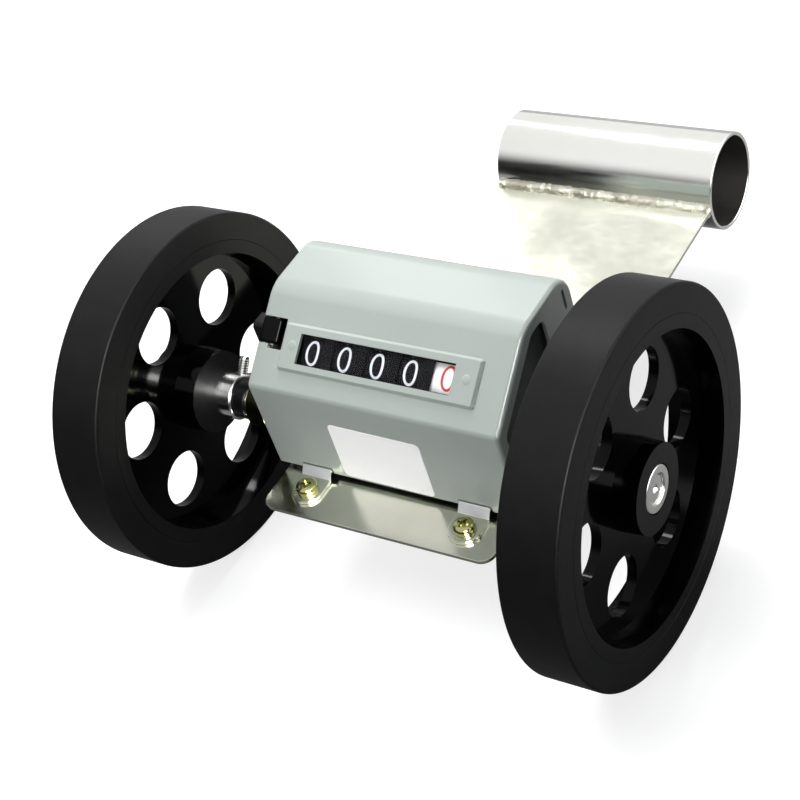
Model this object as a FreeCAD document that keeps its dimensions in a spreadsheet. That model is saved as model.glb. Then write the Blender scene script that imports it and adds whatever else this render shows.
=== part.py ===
"""Cable length counter: two rubber-tyred wheels that turn a five-figure drum counter.

Frame, in millimetres: the origin is the centre of the rod tube's bore, +X runs along
the bore, +Z is up from the arm plate and the wheels stand out to the front, at -Y.
"""
import FreeCAD, Part
import math
import os
import Sketcher

SIZES = {
    # Rod tube, and the arm plate that is welded to it with its middle on the tube's centre.
    "tube_diameter": 31.0,
    "tube_wall": 1.2,
    "tube_overhang": 0.1,
    "bead_radius": 2.4,
    "bead_end_gap": 1.0,
    "plate_margin": 0.2,
    "plate_reach": 166.0,
    "plate_thickness": 1.2,
    "plate_corner": 4.0,
    # Wheels, on an axle in front of and above the tube's centre.
    "axle_reach": 142.0,
    "axle_height": 17.0,
    "wheel_radius": 53.05,
    "wheel_width": 16.5,
    "tread_depth": 8.05,
    "tread_rounding": 1.2,
    "rim_depth": 3.8,
    "rim_draft": 1.3,
    "web_thickness": 2.9,
    "hub_diameter": 24.4,
    "hub_draft": 0.4,
    "core_fillet": 1.2,
    "hole_diameter": 17.3,
    "hole_circle": 54.7,
    "hole_count": 6.0,
    "left_wheel_turn": 43.65,
    "right_wheel_turn": 54.5,
    # Wheel shaft and what is threaded on it, from each wheel inwards.
    "shaft_diameter": 8.0,
    "journal_diameter": 5.0,
    "shaft_recess": 0.7,
    "centre_drill": 2.4,
    "sleeve_diameter": 13.6,
    "sleeve_stand_out": 9.05,
    "sleeve_chamfer": 0.6,
    "setscrew_diameter": 4.0,
    "setscrew_inset": 2.1,
    "setscrew_top": 11.7,
    "setscrew_turn": 45.0,
    "socket_width": 2.0,
    "socket_depth": 1.8,
    "collar_diameter": 12.0,
    "collar_length": 4.45,
    "washer_diameter": 12.4,
    "washer_thickness": 0.7,
    "bush_head_diameter": 14.0,
    "bush_head_length": 6.9,
    "bush_neck_diameter": 9.0,
    "bush_chamfer": 0.5,
    "axial_play": 0.25,
    "running_gap": 0.05,
    # Folded housing cover.
    "cover_width": 81.6,
    "cover_sheet": 1.0,
    "cover_front": 150.4,
    "cover_back": 102.4,
    "cover_lift": 2.0,
    "crease_height": 32.9,
    "cover_top": 50.6,
    "window_slope": 36.64,
    "crease_rounding": 2.0,
    "upper_rounding": 10.0,
    "back_rounding": 8.0,
    "end_rounding": 1.5,
    "bush_gap": 0.3,
    # Openings of the cover; distances up the window face start at the front crease.
    "end_lip": 4.0,
    "front_lip": 3.4,
    "end_opening_back": 118.0,
    "opening_rounding": 3.0,
    "slit_reach": 107.5,
    "slit_bottom": 39.8,
    "slit_height": 6.7,
    "slit_width": 1.2,
    "notch_width": 8.7,
    "notch_start": 12.7,
    "notch_end": 20.5,
    "notch_step": 1.2,
    "notch_step_width": 4.0,
    # Window bezel, lens and rivets.
    "bezel_inset": 9.0,
    "bezel_start": 6.1,
    "bezel_end": 19.7,
    "bezel_thickness": 1.3,
    "bezel_rounding": 0.6,
    "bezel_bevel": 0.8,
    "window_cover": 1.35,
    "window_start": 8.5,
    "window_end": 17.1,
    "lens_border": 0.6,
    "lens_thickness": 0.8,
    "lens_gap": 0.2,
    "rivet_inset": 3.7,
    "rivet_place": 13.4,
    "rivet_head": 3.3,
    "rivet_crown": 2.6,
    "rivet_shank": 1.6,
    "rivet_height": 0.5,
    # Blank label on the front face.
    "label_width": 30.0,
    "label_height": 19.5,
    "label_bottom": 4.0,
    "label_centre": -1.45,
    "label_corner": 1.5,
    "label_thickness": 0.15,
    "label_turn": 1.3,
    # Chassis, its four ears and what screws it down.
    "chassis_side_clearance": 2.1,
    "chassis_sheet": 1.2,
    "chassis_clearance": 1.0,
    "chassis_bend": 1.8,
    "base_rise": 2.4,
    "joggle_start": 0.4,
    "joggle_run": 1.9,
    "ear_slot_gap": 0.3,
    "ear_width": 9.9,
    "ear_inset": 11.5,
    "ear_reach": 11.9,
    "flange_width": 9.0,
    "flange_bottom": 11.0,
    "flange_height": 18.0,
    "flange_gap": 0.2,
    "screw_diameter": 4.0,
    "screw_hole": 4.4,
    "screw_head": 6.4,
    "screw_head_height": 2.3,
    "screw_head_side": 1.0,
    "screw_head_crown": 4.6,
    "screw_tail": 0.8,
    "nut_flats": 7.0,
    "nut_height": 3.2,
    "cover_screw_diameter": 3.0,
    "cover_screw_head": 5.4,
    "cover_screw_head_height": 1.7,
    "cover_screw_head_side": 0.7,
    "cover_screw_head_crown": 3.8,
    "cover_screw_length": 5.0,
    "tie_rod_diameter": 4.0,
    "tie_rod_inset": 4.6,
    "tie_rod_drop": 6.1,
    # Number drums, on a shaft under the window.
    "drum_diameter": 24.8,
    "drum_gap": 0.8,
    "drum_room_left": 9.25,
    "drum_room_right": 11.05,
    "drum_depth": 13.75,
    "drum_place": 12.5,
    "drum_shaft_diameter": 6.0,
    "drum_bore_gap": 0.1,
    "drum_hub_diameter": 10.4,
    "drum_hub_stand_out": 0.25,
    "drum_rim_inner": 18.4,
    "carry_disc_diameter": 20.4,
    "carry_width": 0.9,
    "gear_zone": 1.6,
    "drum_web": 1.0,
    "reset_groove_width": 1.0,
    "reset_groove_depth": 0.8,
    "drum_bush_head": 10.0,
    "drum_bush_neck": 8.4,
    "drum_bush_head_length": 2.0,
    # Gears.
    "input_teeth": 36.0,
    "axle_teeth": 12.0,
    "input_gear_width": 3.0,
    "pinion_overlap": 0.3,
    "pinion_hub_length": 4.0,
    "pinion_hub_diameter": 8.6,
    "drum_teeth": 20.0,
    "transfer_teeth": 8.0,
    "transfer_module": 1.05,
    "transfer_turn": -30.0,
    "transfer_gap": 0.3,
    "transfer_shaft_diameter": 3.0,
    "transfer_hub_diameter": 4.0,
    "clip_diameter": 4.0,
    "clip_thickness": 0.6,
    # Reset lever, outside the left end of the cover.
    "lever_gap": 0.5,
    "lever_thickness": 4.4,
    "lever_wing_step": 0.3,
    "lever_reach": 12.2,
    "lever_width": 6.4,
    "lever_hub_diameter": 10.0,
    "lever_neck_diameter": 8.0,
    "lever_bevel": 0.6,
}

DRUM_COUNT = 5
LEFT, RIGHT = -1, 1
QUARTER_TURN, HALF_TURN = 90, 180
# Cuts run this far past what they cut, and a fillet stops this short of half a width.
CUT_PAST = 1.0
FILLET_SLACK = 0.02

doc = FreeCAD.newDocument("CableLengthCounter")
pieces = []


class Size:
    """A number together with the expression that the document works it out from."""

    def __init__(self, value, text):
        self.value = float(value)
        self.text = text

    @staticmethod
    def of(number):
        return number if isinstance(number, Size) else Size(number, f"({float(number):.9g})")

    def join(self, other, sign, value):
        return Size(value, f"({self.text} {sign} {other.text})")

    def __add__(self, other):
        other = Size.of(other)
        return self.join(other, "+", self.value + other.value)

    def __sub__(self, other):
        other = Size.of(other)
        return self.join(other, "-", self.value - other.value)

    def __mul__(self, other):
        other = Size.of(other)
        return self.join(other, "*", self.value * other.value)

    def __truediv__(self, other):
        other = Size.of(other)
        return self.join(other, "/", self.value / other.value)

    def __radd__(self, other):
        return Size.of(other) + self

    def __rsub__(self, other):
        return Size.of(other) - self

    def __rmul__(self, other):
        return Size.of(other) * self

    def __rtruediv__(self, other):
        return Size.of(other) / self

    def __neg__(self):
        return self * -1


def sine(angle):
    return Size(math.sin(math.radians(angle.value)), f"sin({angle.text})")


def cosine(angle):
    return Size(math.cos(math.radians(angle.value)), f"cos({angle.text})")


def tangent(angle):
    return Size(math.tan(math.radians(angle.value)), f"tan({angle.text})")


def hypotenuse(a, b):
    return Size(math.hypot(a.value, b.value), f"sqrt({a.text} * {a.text} + {b.text} * {b.text})")


def heading(y, z):
    """Angle of a direction in the YZ plane, from +Y towards +Z."""
    return Size(math.degrees(math.atan2(z.value, y.value)), f"(atan2({z.text}; {y.text}) / 1 deg)")


def write_sheet():
    """Writes the driving dimensions into the sheet and gives each back as a Size."""
    sheet = doc.addObject("Spreadsheet::Sheet", "Sizes")
    for row, (alias, number) in enumerate(SIZES.items(), start=1):
        sheet.set(f"A{row}", alias)
        sheet.set(f"B{row}", f"{number:g}")
        sheet.setAlias(f"B{row}", alias)
    doc.recompute()
    return {alias: Size(number, f"Sizes.{alias}") for alias, number in SIZES.items()}


size = write_sheet()


# ---------------------------------------------------------------- building blocks

def bind(thing, name, number):
    """Ties a property or a named constraint to its expression."""
    thing.setExpression(name, Size.of(number).text)


def place(thing, x=0, y=0, z=0, turn=None, axis=FreeCAD.Vector(1, 0, 0)):
    """Puts a piece at (x, y, z), turned about an axis through its own origin."""
    x, y, z = Size.of(x), Size.of(y), Size.of(z)
    rotation = FreeCAD.Rotation(axis, turn.value) if turn else FreeCAD.Rotation()
    thing.Placement = FreeCAD.Placement(FreeCAD.Vector(x.value, y.value, z.value), rotation)
    bind(thing, ".Placement.Base.x", x)
    bind(thing, ".Placement.Base.y", y)
    bind(thing, ".Placement.Base.z", z)
    if turn:
        bind(thing, ".Placement.Rotation.Angle", turn)


def new_body(label):
    body = doc.addObject("PartDesign::Body", label)
    body.Label = label
    pieces.append(body)
    return body


def origin_item(body, role):
    return next(item for item in body.Origin.OriginFeatures if item.Role == role)


def new_sketch(body, plane, shift, turn, axis):
    """A sketch on one of the body's origin planes, shifted and turned within it."""
    sketch = body.newObject("Sketcher::SketchObject", "Sketch")
    sketch.AttachmentSupport = [(origin_item(body, plane), "")]
    sketch.MapMode = "FlatFace"
    shift = [Size.of(part) for part in shift]
    rotation = FreeCAD.Rotation(axis, turn.value) if turn else FreeCAD.Rotation()
    base = FreeCAD.Vector(*(part.value for part in shift))
    sketch.AttachmentOffset = FreeCAD.Placement(base, rotation)
    for letter, part in zip("xyz", shift):
        bind(sketch, f".AttachmentOffset.Base.{letter}", part)
    if turn:
        bind(sketch, ".AttachmentOffset.Rotation.Angle", turn)
    return sketch


def hold_point(sketch, line, spot, x, y, name):
    """Holds a point of the sketch at x and y from its origin."""
    for kind, letter, number in (("DistanceX", "x", x), ("DistanceY", "y", y)):
        constraint = Sketcher.Constraint(kind, -1, 1, line, spot, number.value)
        index = sketch.addConstraint(constraint)
        sketch.renameConstraint(index, f"{letter}{name}")
        bind(sketch, f"Constraints.{letter}{name}", number)


def outline(body, plane, *loops, shift=(0, 0, 0), turn=None, axis=FreeCAD.Vector(1, 0, 0)):
    """A sketch of closed polygons; each corner is held by two dimensions."""
    sketch = new_sketch(body, plane, shift, turn, axis)
    for loop in loops:
        corners = [(Size.of(x), Size.of(y)) for x, y in loop]
        first = sketch.GeometryCount
        for index, start in enumerate(corners):
            end = corners[(index + 1) % len(corners)]
            ends = [FreeCAD.Vector(x.value, y.value, 0) for x, y in (start, end)]
            sketch.addGeometry(Part.LineSegment(*ends), False)
        for index, (x, y) in enumerate(corners):
            following = first + (index + 1) % len(corners)
            sketch.addConstraint(Sketcher.Constraint("Coincident", first + index, 2, following, 1))
            hold_point(sketch, first + index, 1, x, y, first + index)
    return sketch


def circles(body, plane, *rounds, shift=(0, 0, 0), turn=None, axis=FreeCAD.Vector(1, 0, 0)):
    """A sketch of circles, each given as centre x, centre y and diameter."""
    sketch = new_sketch(body, plane, shift, turn, axis)
    for x, y, diameter in rounds:
        x, y, diameter = Size.of(x), Size.of(y), Size.of(diameter)
        centre = FreeCAD.Vector(x.value, y.value, 0)
        up = FreeCAD.Vector(0, 0, 1)
        index = sketch.addGeometry(Part.Circle(centre, up, diameter.value / 2), False)
        hold_point(sketch, index, 3, x, y, index)
        constraint = sketch.addConstraint(Sketcher.Constraint("Diameter", index, diameter.value))
        sketch.renameConstraint(constraint, f"diameter{index}")
        bind(sketch, f"Constraints.diameter{index}", diameter)
    return sketch


def rectangle(x0, x1, y0, y1):
    return [(x0, y0), (x1, y0), (x1, y1), (x0, y1)]


def add(body, kind, sketch, length, both_ways=False, reverse=False):
    """Adds a Pad or a Pocket; a length of None cuts through everything."""
    feature = body.newObject(f"PartDesign::{kind}", kind)
    feature.Profile = sketch
    feature.Reversed = reverse
    if both_ways:
        feature.SideType = "Symmetric"
    if length is None:
        feature.Type = "ThroughAll"
    else:
        bind(feature, "Length", length)
    sketch.Visibility = False
    doc.recompute()
    return feature


def revolve(body, sketch, axis_name):
    """Turns a sketch once round one of its own axes."""
    feature = body.newObject("PartDesign::Revolution", "Revolution")
    feature.Profile = sketch
    feature.ReferenceAxis = (sketch, [axis_name])
    feature.Angle = 360
    doc.recompute()
    return feature


def turned(label, points):
    """A body turned about its own X axis from (x, radius) points."""
    body = new_body(label)
    revolve(body, outline(body, "XY_Plane", points), "H_Axis")
    return body


def repeat_round(body, feature, count, angle=None):
    """Repeats a feature about the body's X axis, evenly or at a step angle."""
    pattern = body.newObject("PartDesign::PolarPattern", "PolarPattern")
    pattern.Originals = [feature]
    pattern.Axis = (origin_item(body, "X_Axis"), [""])
    bind(pattern, "Occurrences", count)
    if angle is None:
        pattern.Angle = 360
    else:
        bind(pattern, "Angle", angle)
    body.Tip = pattern
    doc.recompute()
    return pattern


def mirror(body, plane):
    """Mirrors the whole body about one of its origin planes."""
    feature = body.newObject("PartDesign::Mirrored", "Mirrored")
    feature.TransformMode = "Whole shape"
    feature.MirrorPlane = (origin_item(body, plane), [""])
    body.Tip = feature
    doc.recompute()
    return feature


def dress(body, kind, number, chosen):
    """Fillets or chamfers the edges of the body that a test picks out."""
    base = body.Tip
    names = [f"Edge{index}" for index, edge in enumerate(base.Shape.Edges, 1) if chosen(edge)]
    feature = body.newObject(f"PartDesign::{kind}", kind)
    feature.Base = (base, names)
    bind(feature, "Radius" if kind == "Fillet" else "Size", number)
    doc.recompute()
    return feature


def near(a, b):
    return abs(Size.of(a).value - Size.of(b).value) < 0.01


def lies_along(edge, letter):
    """True for an edge whose two ends differ only along the given axis."""
    box = edge.BoundBox
    spans = {"x": box.XLength, "y": box.YLength, "z": box.ZLength}
    return spans.pop(letter) > 0.01 and max(spans.values()) < 0.01


def is_ring(edge, x, radius):
    """True for a full circle about the X axis at this x and radius."""
    box = edge.BoundBox
    flat = box.XLength < 0.01 and near(box.XMin, x)
    return flat and near(box.YMax, radius) and near(box.YMin, -radius)


# ---------------------------------------------------------------- shared places

cover_side = size["cover_width"] / 2
chassis_side = cover_side - size["cover_sheet"] - size["chassis_side_clearance"]
chassis_inside = chassis_side - size["chassis_sheet"]
plate_side = chassis_side + size["plate_margin"]
tube_length = 2 * (plate_side + size["tube_overhang"])

bush_start = cover_side + size["bush_gap"]
bush_end = bush_start + size["bush_head_length"]
washer_end = bush_end + size["axial_play"]
collar_end = washer_end + size["washer_thickness"]
sleeve_end = collar_end + size["collar_length"]
wheel_inner = sleeve_end + size["sleeve_stand_out"]
wheel_centre = wheel_inner + size["wheel_width"] / 2
wheel_outer = wheel_inner + size["wheel_width"]
rim_radius = size["wheel_radius"] - size["tread_depth"]
axle_y = -size["axle_reach"]
axle_z = size["axle_height"]

plate_top = size["plate_thickness"] / 2
cover_bottom = plate_top + size["cover_lift"]
slope = size["window_slope"]
slope_rise = size["cover_top"] - size["crease_height"]
slope_back = -size["cover_front"] + slope_rise / tangent(slope)

window_left = size["drum_room_left"] + size["window_cover"] - chassis_inside
window_right = chassis_inside - size["drum_room_right"] - size["window_cover"]
bezel_side = cover_side - size["bezel_inset"]
rivet_x = bezel_side - size["rivet_inset"]

chassis_middle = -(size["cover_front"] + size["cover_back"]) / 2
chassis_margin = size["cover_sheet"] + size["chassis_clearance"]
chassis_half = (size["cover_front"] - size["cover_back"]) / 2 - chassis_margin
tie_rod_y = chassis_middle + chassis_half - size["tie_rod_inset"]
tie_rod_z = size["cover_top"] - chassis_margin - size["tie_rod_drop"]
base_bottom = plate_top + size["base_rise"]
base_top = base_bottom + size["chassis_sheet"]
screw_y = (size["cover_front"] - size["cover_back"]) / 2 + size["ear_reach"] - size["ear_width"] / 2
screw_x = chassis_side - size["ear_inset"]
cover_screw_x = chassis_inside - size["flange_width"] / 2
cover_screw_z = size["flange_bottom"] + size["flange_height"] / 2

drum_y = -size["cover_front"] + size["drum_place"] * cosine(slope) + size["drum_depth"] * sine(slope)
drum_z = size["crease_height"] + size["drum_place"] * sine(slope) - size["drum_depth"] * cosine(slope)
drum_bore = size["drum_shaft_diameter"] / 2 + size["drum_bore_gap"]
drums_left = size["drum_room_left"] - chassis_inside
drums_right = chassis_inside - size["drum_room_right"]
drum_pitch = (drums_right - drums_left + size["drum_gap"]) / DRUM_COUNT
drum_half = (drum_pitch - size["drum_gap"]) / 2
drum_hub_end = drum_half + size["drum_hub_stand_out"]
drum_gear_start = drum_half - size["gear_zone"]
drum_centres = [drums_left + drum_half + drum_pitch * index for index in range(DRUM_COUNT)]

gear_heading = heading(drum_y - axle_y, drum_z - axle_z)
gear_distance = hypotenuse(drum_y - axle_y, drum_z - axle_z)
input_module = 2 * gear_distance / (size["input_teeth"] + size["axle_teeth"])
input_gear_start = drum_centres[-1] + drum_hub_end
input_gear_end = input_gear_start + size["input_gear_width"]

transfer_distance = size["transfer_module"] * (size["drum_teeth"] + size["transfer_teeth"]) / 2
transfer_y = drum_y + transfer_distance * cosine(size["transfer_turn"])
transfer_z = drum_z + transfer_distance * sine(size["transfer_turn"])
transfer_start = drum_gear_start + size["transfer_gap"]
transfer_width = drum_pitch - drum_half - size["transfer_gap"] - transfer_start
transfer_hub_end = transfer_start + drum_pitch - size["transfer_gap"]

lever_start = cover_side + size["lever_gap"]
lever_end = lever_start + size["lever_thickness"]


# ---------------------------------------------------------------- teeth

PRESSURE_ANGLE = 20.0
ADDENDUM = 0.85
DEDENDUM = 1.25
TOOTH_SHARE = 0.86
ROOT_SHARE = 0.88
TOOTH_SINK = 0.3


def involute(angle):
    return math.tan(angle) - angle


def tooth_half_widths(teeth):
    """Half the tooth's width at root, pitch circle and tip, for a module of one."""
    pressure = math.radians(PRESSURE_ANGLE)
    pitch = teeth / 2
    base = pitch * math.cos(pressure)
    half_angle = math.pi / (2 * teeth) * TOOTH_SHARE
    tip = pitch + ADDENDUM
    root = pitch - DEDENDUM
    tip_angle = half_angle + involute(pressure) - involute(math.acos(base / tip))
    root_angle = half_angle + involute(pressure)
    if root > base:
        root_angle -= involute(math.acos(base / root))
    return root * root_angle * ROOT_SHARE, pitch * half_angle, tip * tip_angle


def root_radius(teeth, module):
    return module * (teeth / 2 - DEDENDUM)


def add_teeth(body, teeth, module, start, width, count=None):
    """Adds a ring of teeth, the first on the body's +Y side, or only some of them."""
    root, pitch, tip = (module * half for half in tooth_half_widths(teeth.value))
    root_at = root_radius(teeth, module)
    pitch_at = module * teeth / 2
    tip_at = module * (teeth / 2 + ADDENDUM)
    low_side = [(root_at - TOOTH_SINK, -root), (root_at, -root), (pitch_at, -pitch), (tip_at, -tip)]
    high_side = [(at, -half) for at, half in reversed(low_side)]
    tooth = add(body, "Pad", outline(body, "YZ_Plane", low_side + high_side, shift=(0, 0, start)), width)
    if count is None:
        repeat_round(body, tooth, teeth)
    else:
        repeat_round(body, tooth, count, 360 * (count - 1) / teeth)


# ---------------------------------------------------------------- arm

def make_rod_tube():
    body = new_body("rod_tube")
    bore = size["tube_diameter"] - 2 * size["tube_wall"]
    ring = circles(body, "YZ_Plane", (0, 0, size["tube_diameter"]), (0, 0, bore))
    add(body, "Pad", ring, tube_length, both_ways=True)


def make_arm_plate():
    body = new_body("arm_plate")
    sheet = outline(body, "XY_Plane", rectangle(-plate_side, plate_side, -size["plate_reach"], 0))
    add(body, "Pad", sheet, size["plate_thickness"], both_ways=True)

    def is_front_corner(edge):
        return lies_along(edge, "z") and near(edge.BoundBox.YMin, -size["plate_reach"])

    dress(body, "Fillet", size["plate_corner"], is_front_corner)
    tube = circles(body, "YZ_Plane", (0, 0, size["tube_diameter"]))
    add(body, "Pocket", tube, None, both_ways=True)
    places = [
        (side_x * screw_x, chassis_middle + side_y * screw_y, size["screw_hole"])
        for side_x in (-1, 1)
        for side_y in (-1, 1)
    ]
    add(body, "Pocket", circles(body, "XY_Plane", *places), None, both_ways=True)


def make_weld_bead():
    """A bead along each side of the joint, shaped by the plate and the tube it fills."""
    length = 2 * (plate_side - size["bead_end_gap"])
    rod = doc.addObject("Part::Cylinder", "BeadRod")
    bind(rod, "Radius", size["bead_radius"])
    tube = doc.addObject("Part::Cylinder", "BeadTube")
    bind(tube, "Radius", size["tube_diameter"] / 2)
    for cylinder in (rod, tube):
        bind(cylinder, "Height", length)
    across = FreeCAD.Vector(0, 1, 0)
    upright_to_bore = Size.of(QUARTER_TURN)
    place(rod, -length / 2, -size["tube_diameter"] / 2, 0, upright_to_bore, across)
    place(tube, -length / 2, 0, 0, upright_to_bore, across)
    sheet = doc.addObject("Part::Box", "BeadSheet")
    bind(sheet, "Length", length)
    bind(sheet, "Width", size["tube_diameter"])
    bind(sheet, "Height", size["plate_thickness"])
    place(sheet, -length / 2, -size["tube_diameter"], -plate_top)
    tools = doc.addObject("Part::MultiFuse", "BeadTools")
    tools.Shapes = [tube, sheet]
    bead = doc.addObject("Part::Cut", "weld_bead")
    bead.Base = rod
    bead.Tool = tools
    bead.Label = "weld_bead"
    pieces.append(bead)


# ---------------------------------------------------------------- wheels

def place_on_axle(body, turn=None):
    place(body, 0, axle_y, axle_z, turn)


def make_wheel(side, name, turn):
    half = size["wheel_width"] / 2
    web = size["web_thickness"] / 2
    hub = size["hub_diameter"] / 2
    hub_root = hub + size["hub_draft"]
    lip = rim_radius - size["rim_depth"]
    lip_root = lip - size["rim_draft"]
    bore = size["sleeve_diameter"] / 2
    near_face = [(-half, bore), (-half, hub), (-web, hub_root), (-web, lip_root), (-half, lip), (-half, rim_radius)]
    far_face = [(-x, radius) for x, radius in reversed(near_face)]
    core = turned(f"wheel_core_{name}", near_face + far_face)

    def is_web_corner(edge):
        return any(is_ring(edge, x, radius) for x in (-web, web) for radius in (hub_root, lip_root))

    dress(core, "Fillet", size["core_fillet"], is_web_corner)
    hole = circles(core, "YZ_Plane", (size["hole_circle"] / 2, 0, size["hole_diameter"]))
    cut = add(core, "Pocket", hole, size["wheel_width"], both_ways=True)
    repeat_round(core, cut, size["hole_count"])
    place(core, side * wheel_centre, axle_y, axle_z, turn)

    tread = size["wheel_radius"]
    tyre = turned(f"tyre_{name}", rectangle(-half, half, rim_radius, tread))

    def is_tread_edge(edge):
        return is_ring(edge, -half, tread) or is_ring(edge, half, tread)

    dress(tyre, "Fillet", size["tread_rounding"], is_tread_edge)
    place(tyre, side * wheel_centre, axle_y, axle_z)


def make_wheel_shaft():
    thick = size["shaft_diameter"] / 2
    thin = size["journal_diameter"] / 2
    end = wheel_outer - size["shaft_recess"]
    drill = size["centre_drill"] / 2
    half = [(collar_end, thin), (collar_end, thick), (end, thick), (end, drill), (end - 2 * drill, 0)]
    other = [(-x, radius) for x, radius in reversed(half)]
    place_on_axle(turned("wheel_shaft", other + half))


def make_sleeve(side, name):
    bore = size["shaft_diameter"] / 2
    outside = size["sleeve_diameter"] / 2
    chamfer = size["sleeve_chamfer"]
    points = [
        (sleeve_end, bore),
        (sleeve_end, outside - chamfer),
        (sleeve_end + chamfer, outside),
        (wheel_outer - chamfer, outside),
        (wheel_outer, outside - chamfer),
        (wheel_outer, bore + chamfer),
        (wheel_outer - chamfer, bore),
    ]
    sleeve = turned(f"wheel_sleeve_{name}", [(side * x, radius) for x, radius in points])
    screw_at = side * (sleeve_end + size["setscrew_inset"])
    hole = circles(sleeve, "XY_Plane", (screw_at, 0, size["setscrew_diameter"]))
    add(sleeve, "Pocket", hole, size["sleeve_diameter"], reverse=True)
    up_to_turn = size["setscrew_turn"] - QUARTER_TURN
    place_on_axle(sleeve, up_to_turn)

    screw = new_body(f"sleeve_setscrew_{name}")
    radius = size["setscrew_diameter"] / 2
    tip = radius / 2
    top = size["setscrew_top"]
    profile = [(0, bore), (tip, bore), (radius, bore + tip), (radius, top - tip / 2), (radius - tip / 2, top), (0, top)]
    revolve(screw, outline(screw, "XZ_Plane", profile, shift=(screw_at, 0, 0)), "V_Axis")
    reach = size["socket_width"] / math.sqrt(3)
    corners = [
        (screw_at + reach * math.cos(math.radians(60 * step)), reach * math.sin(math.radians(60 * step)))
        for step in range(6)
    ]
    socket = outline(screw, "XY_Plane", corners, shift=(0, 0, top))
    add(screw, "Pocket", socket, size["socket_depth"])
    place_on_axle(screw, up_to_turn)


def make_axle_rings():
    """The collar, washer and bearing bush at each end of the housing."""
    gap = size["running_gap"]
    journal = size["journal_diameter"] / 2
    for side, name in ((LEFT, "left"), (RIGHT, "right")):
        collar = rectangle(collar_end, sleeve_end, size["shaft_diameter"] / 2, size["collar_diameter"] / 2)
        place_on_axle(turned(f"axle_collar_{name}", [(side * x, radius) for x, radius in collar]))
        head = size["bush_head_diameter"] / 2
        neck = size["bush_neck_diameter"] / 2
        chamfer = size["bush_chamfer"]
        bush = [
            (chassis_inside, journal + gap),
            (chassis_inside, neck),
            (bush_start, neck),
            (bush_start, head),
            (bush_end - chamfer, head),
            (bush_end, head - chamfer),
            (bush_end, journal + gap),
        ]
        place_on_axle(turned(f"axle_bush_{name}", [(side * x, radius) for x, radius in bush]))
    washers = turned("axle_washers", rectangle(washer_end, collar_end, journal, size["washer_diameter"] / 2))
    mirror(washers, "YZ_Plane")
    place_on_axle(washers)


# ---------------------------------------------------------------- cover

def make_cover():
    body = new_body("housing_cover")
    front, back = -size["cover_front"], -size["cover_back"]
    top, crease = size["cover_top"], size["crease_height"]
    profile = [(front, cover_bottom), (front, crease), (slope_back, top), (back, top), (back, cover_bottom)]
    add(body, "Pad", outline(body, "YZ_Plane", profile), size["cover_width"], both_ways=True)

    def long_edge_at(y, z):
        def test(edge):
            return lies_along(edge, "x") and near(edge.BoundBox.YMin, y) and near(edge.BoundBox.ZMin, z)
        return test

    dress(body, "Fillet", size["crease_rounding"], long_edge_at(front, crease))
    dress(body, "Fillet", size["upper_rounding"], long_edge_at(slope_back, top))
    dress(body, "Fillet", size["back_rounding"], long_edge_at(back, top))

    def is_end_edge(edge):
        box = edge.BoundBox
        at_end = box.XLength < 0.01 and near(abs(box.XMin), cover_side)
        return at_end and not (lies_along(edge, "y") and near(box.ZMin, cover_bottom))

    dress(body, "Fillet", size["end_rounding"], is_end_edge)
    solid = body.Tip
    faces = solid.Shape.Faces
    open_face = next(index for index, face in enumerate(faces, 1) if near(face.BoundBox.ZMax, cover_bottom))
    shell = body.newObject("PartDesign::Thickness", "Thickness")
    shell.Base = (solid, [f"Face{open_face}"])
    bind(shell, "Value", size["cover_sheet"])
    shell.Reversed = True
    doc.recompute()

    cut_end_openings(body)
    cut_window_face(body)
    cut_ear_slots(body)
    slit = size["slit_reach"]
    slit_sketch = outline(
        body,
        "YZ_Plane",
        rectangle(-slit, -slit + size["slit_width"], size["slit_bottom"], size["slit_bottom"] + size["slit_height"]),
    )
    add(body, "Pocket", slit_sketch, None, both_ways=True)
    holes = circles(
        body,
        "XZ_Plane",
        *((side * cover_screw_x, cover_screw_z, size["cover_screw_diameter"]) for side in (-1, 1)),
        shift=(0, 0, size["cover_back"] + size["cover_sheet"] + CUT_PAST),
    )
    add(body, "Pocket", holes, size["cover_sheet"] + 2 * CUT_PAST)


def cut_end_openings(body):
    """Both ends are open over the shafts, inside a lip that follows the outline."""
    lip = size["end_lip"]
    front = -size["cover_front"] + size["front_lip"]
    back = -size["end_opening_back"]
    top = size["cover_top"] - lip
    # The sloping side runs parallel to the window face, one lip inside it.
    shoulder = size["crease_height"] - lip / cosine(slope) + size["front_lip"] * tangent(slope)
    brow = front + (top - shoulder) / tangent(slope)
    below = cover_bottom - CUT_PAST
    window = [(front, below), (front, shoulder), (brow, top), (back, top), (back, below)]
    add(body, "Pocket", outline(body, "YZ_Plane", window), None, both_ways=True)
    corner_places = [(front, shoulder), (brow, top), (back, top)]

    def is_opening_corner(edge):
        box = edge.BoundBox
        return lies_along(edge, "x") and any(near(box.YMin, y) and near(box.ZMin, z) for y, z in corner_places)

    dress(body, "Fillet", size["opening_rounding"], is_opening_corner)


def cut_ear_slots(body):
    """Slots in the lower edges of the front and back, for the chassis's four ears."""
    half = size["ear_width"] / 2 + size["ear_slot_gap"]
    low = cover_bottom - CUT_PAST
    high = base_top + size["ear_slot_gap"]
    slots = [rectangle(side * screw_x - half, side * screw_x + half, low, high) for side in (-1, 1)]
    add(body, "Pocket", outline(body, "XZ_Plane", *slots), None, both_ways=True)


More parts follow.
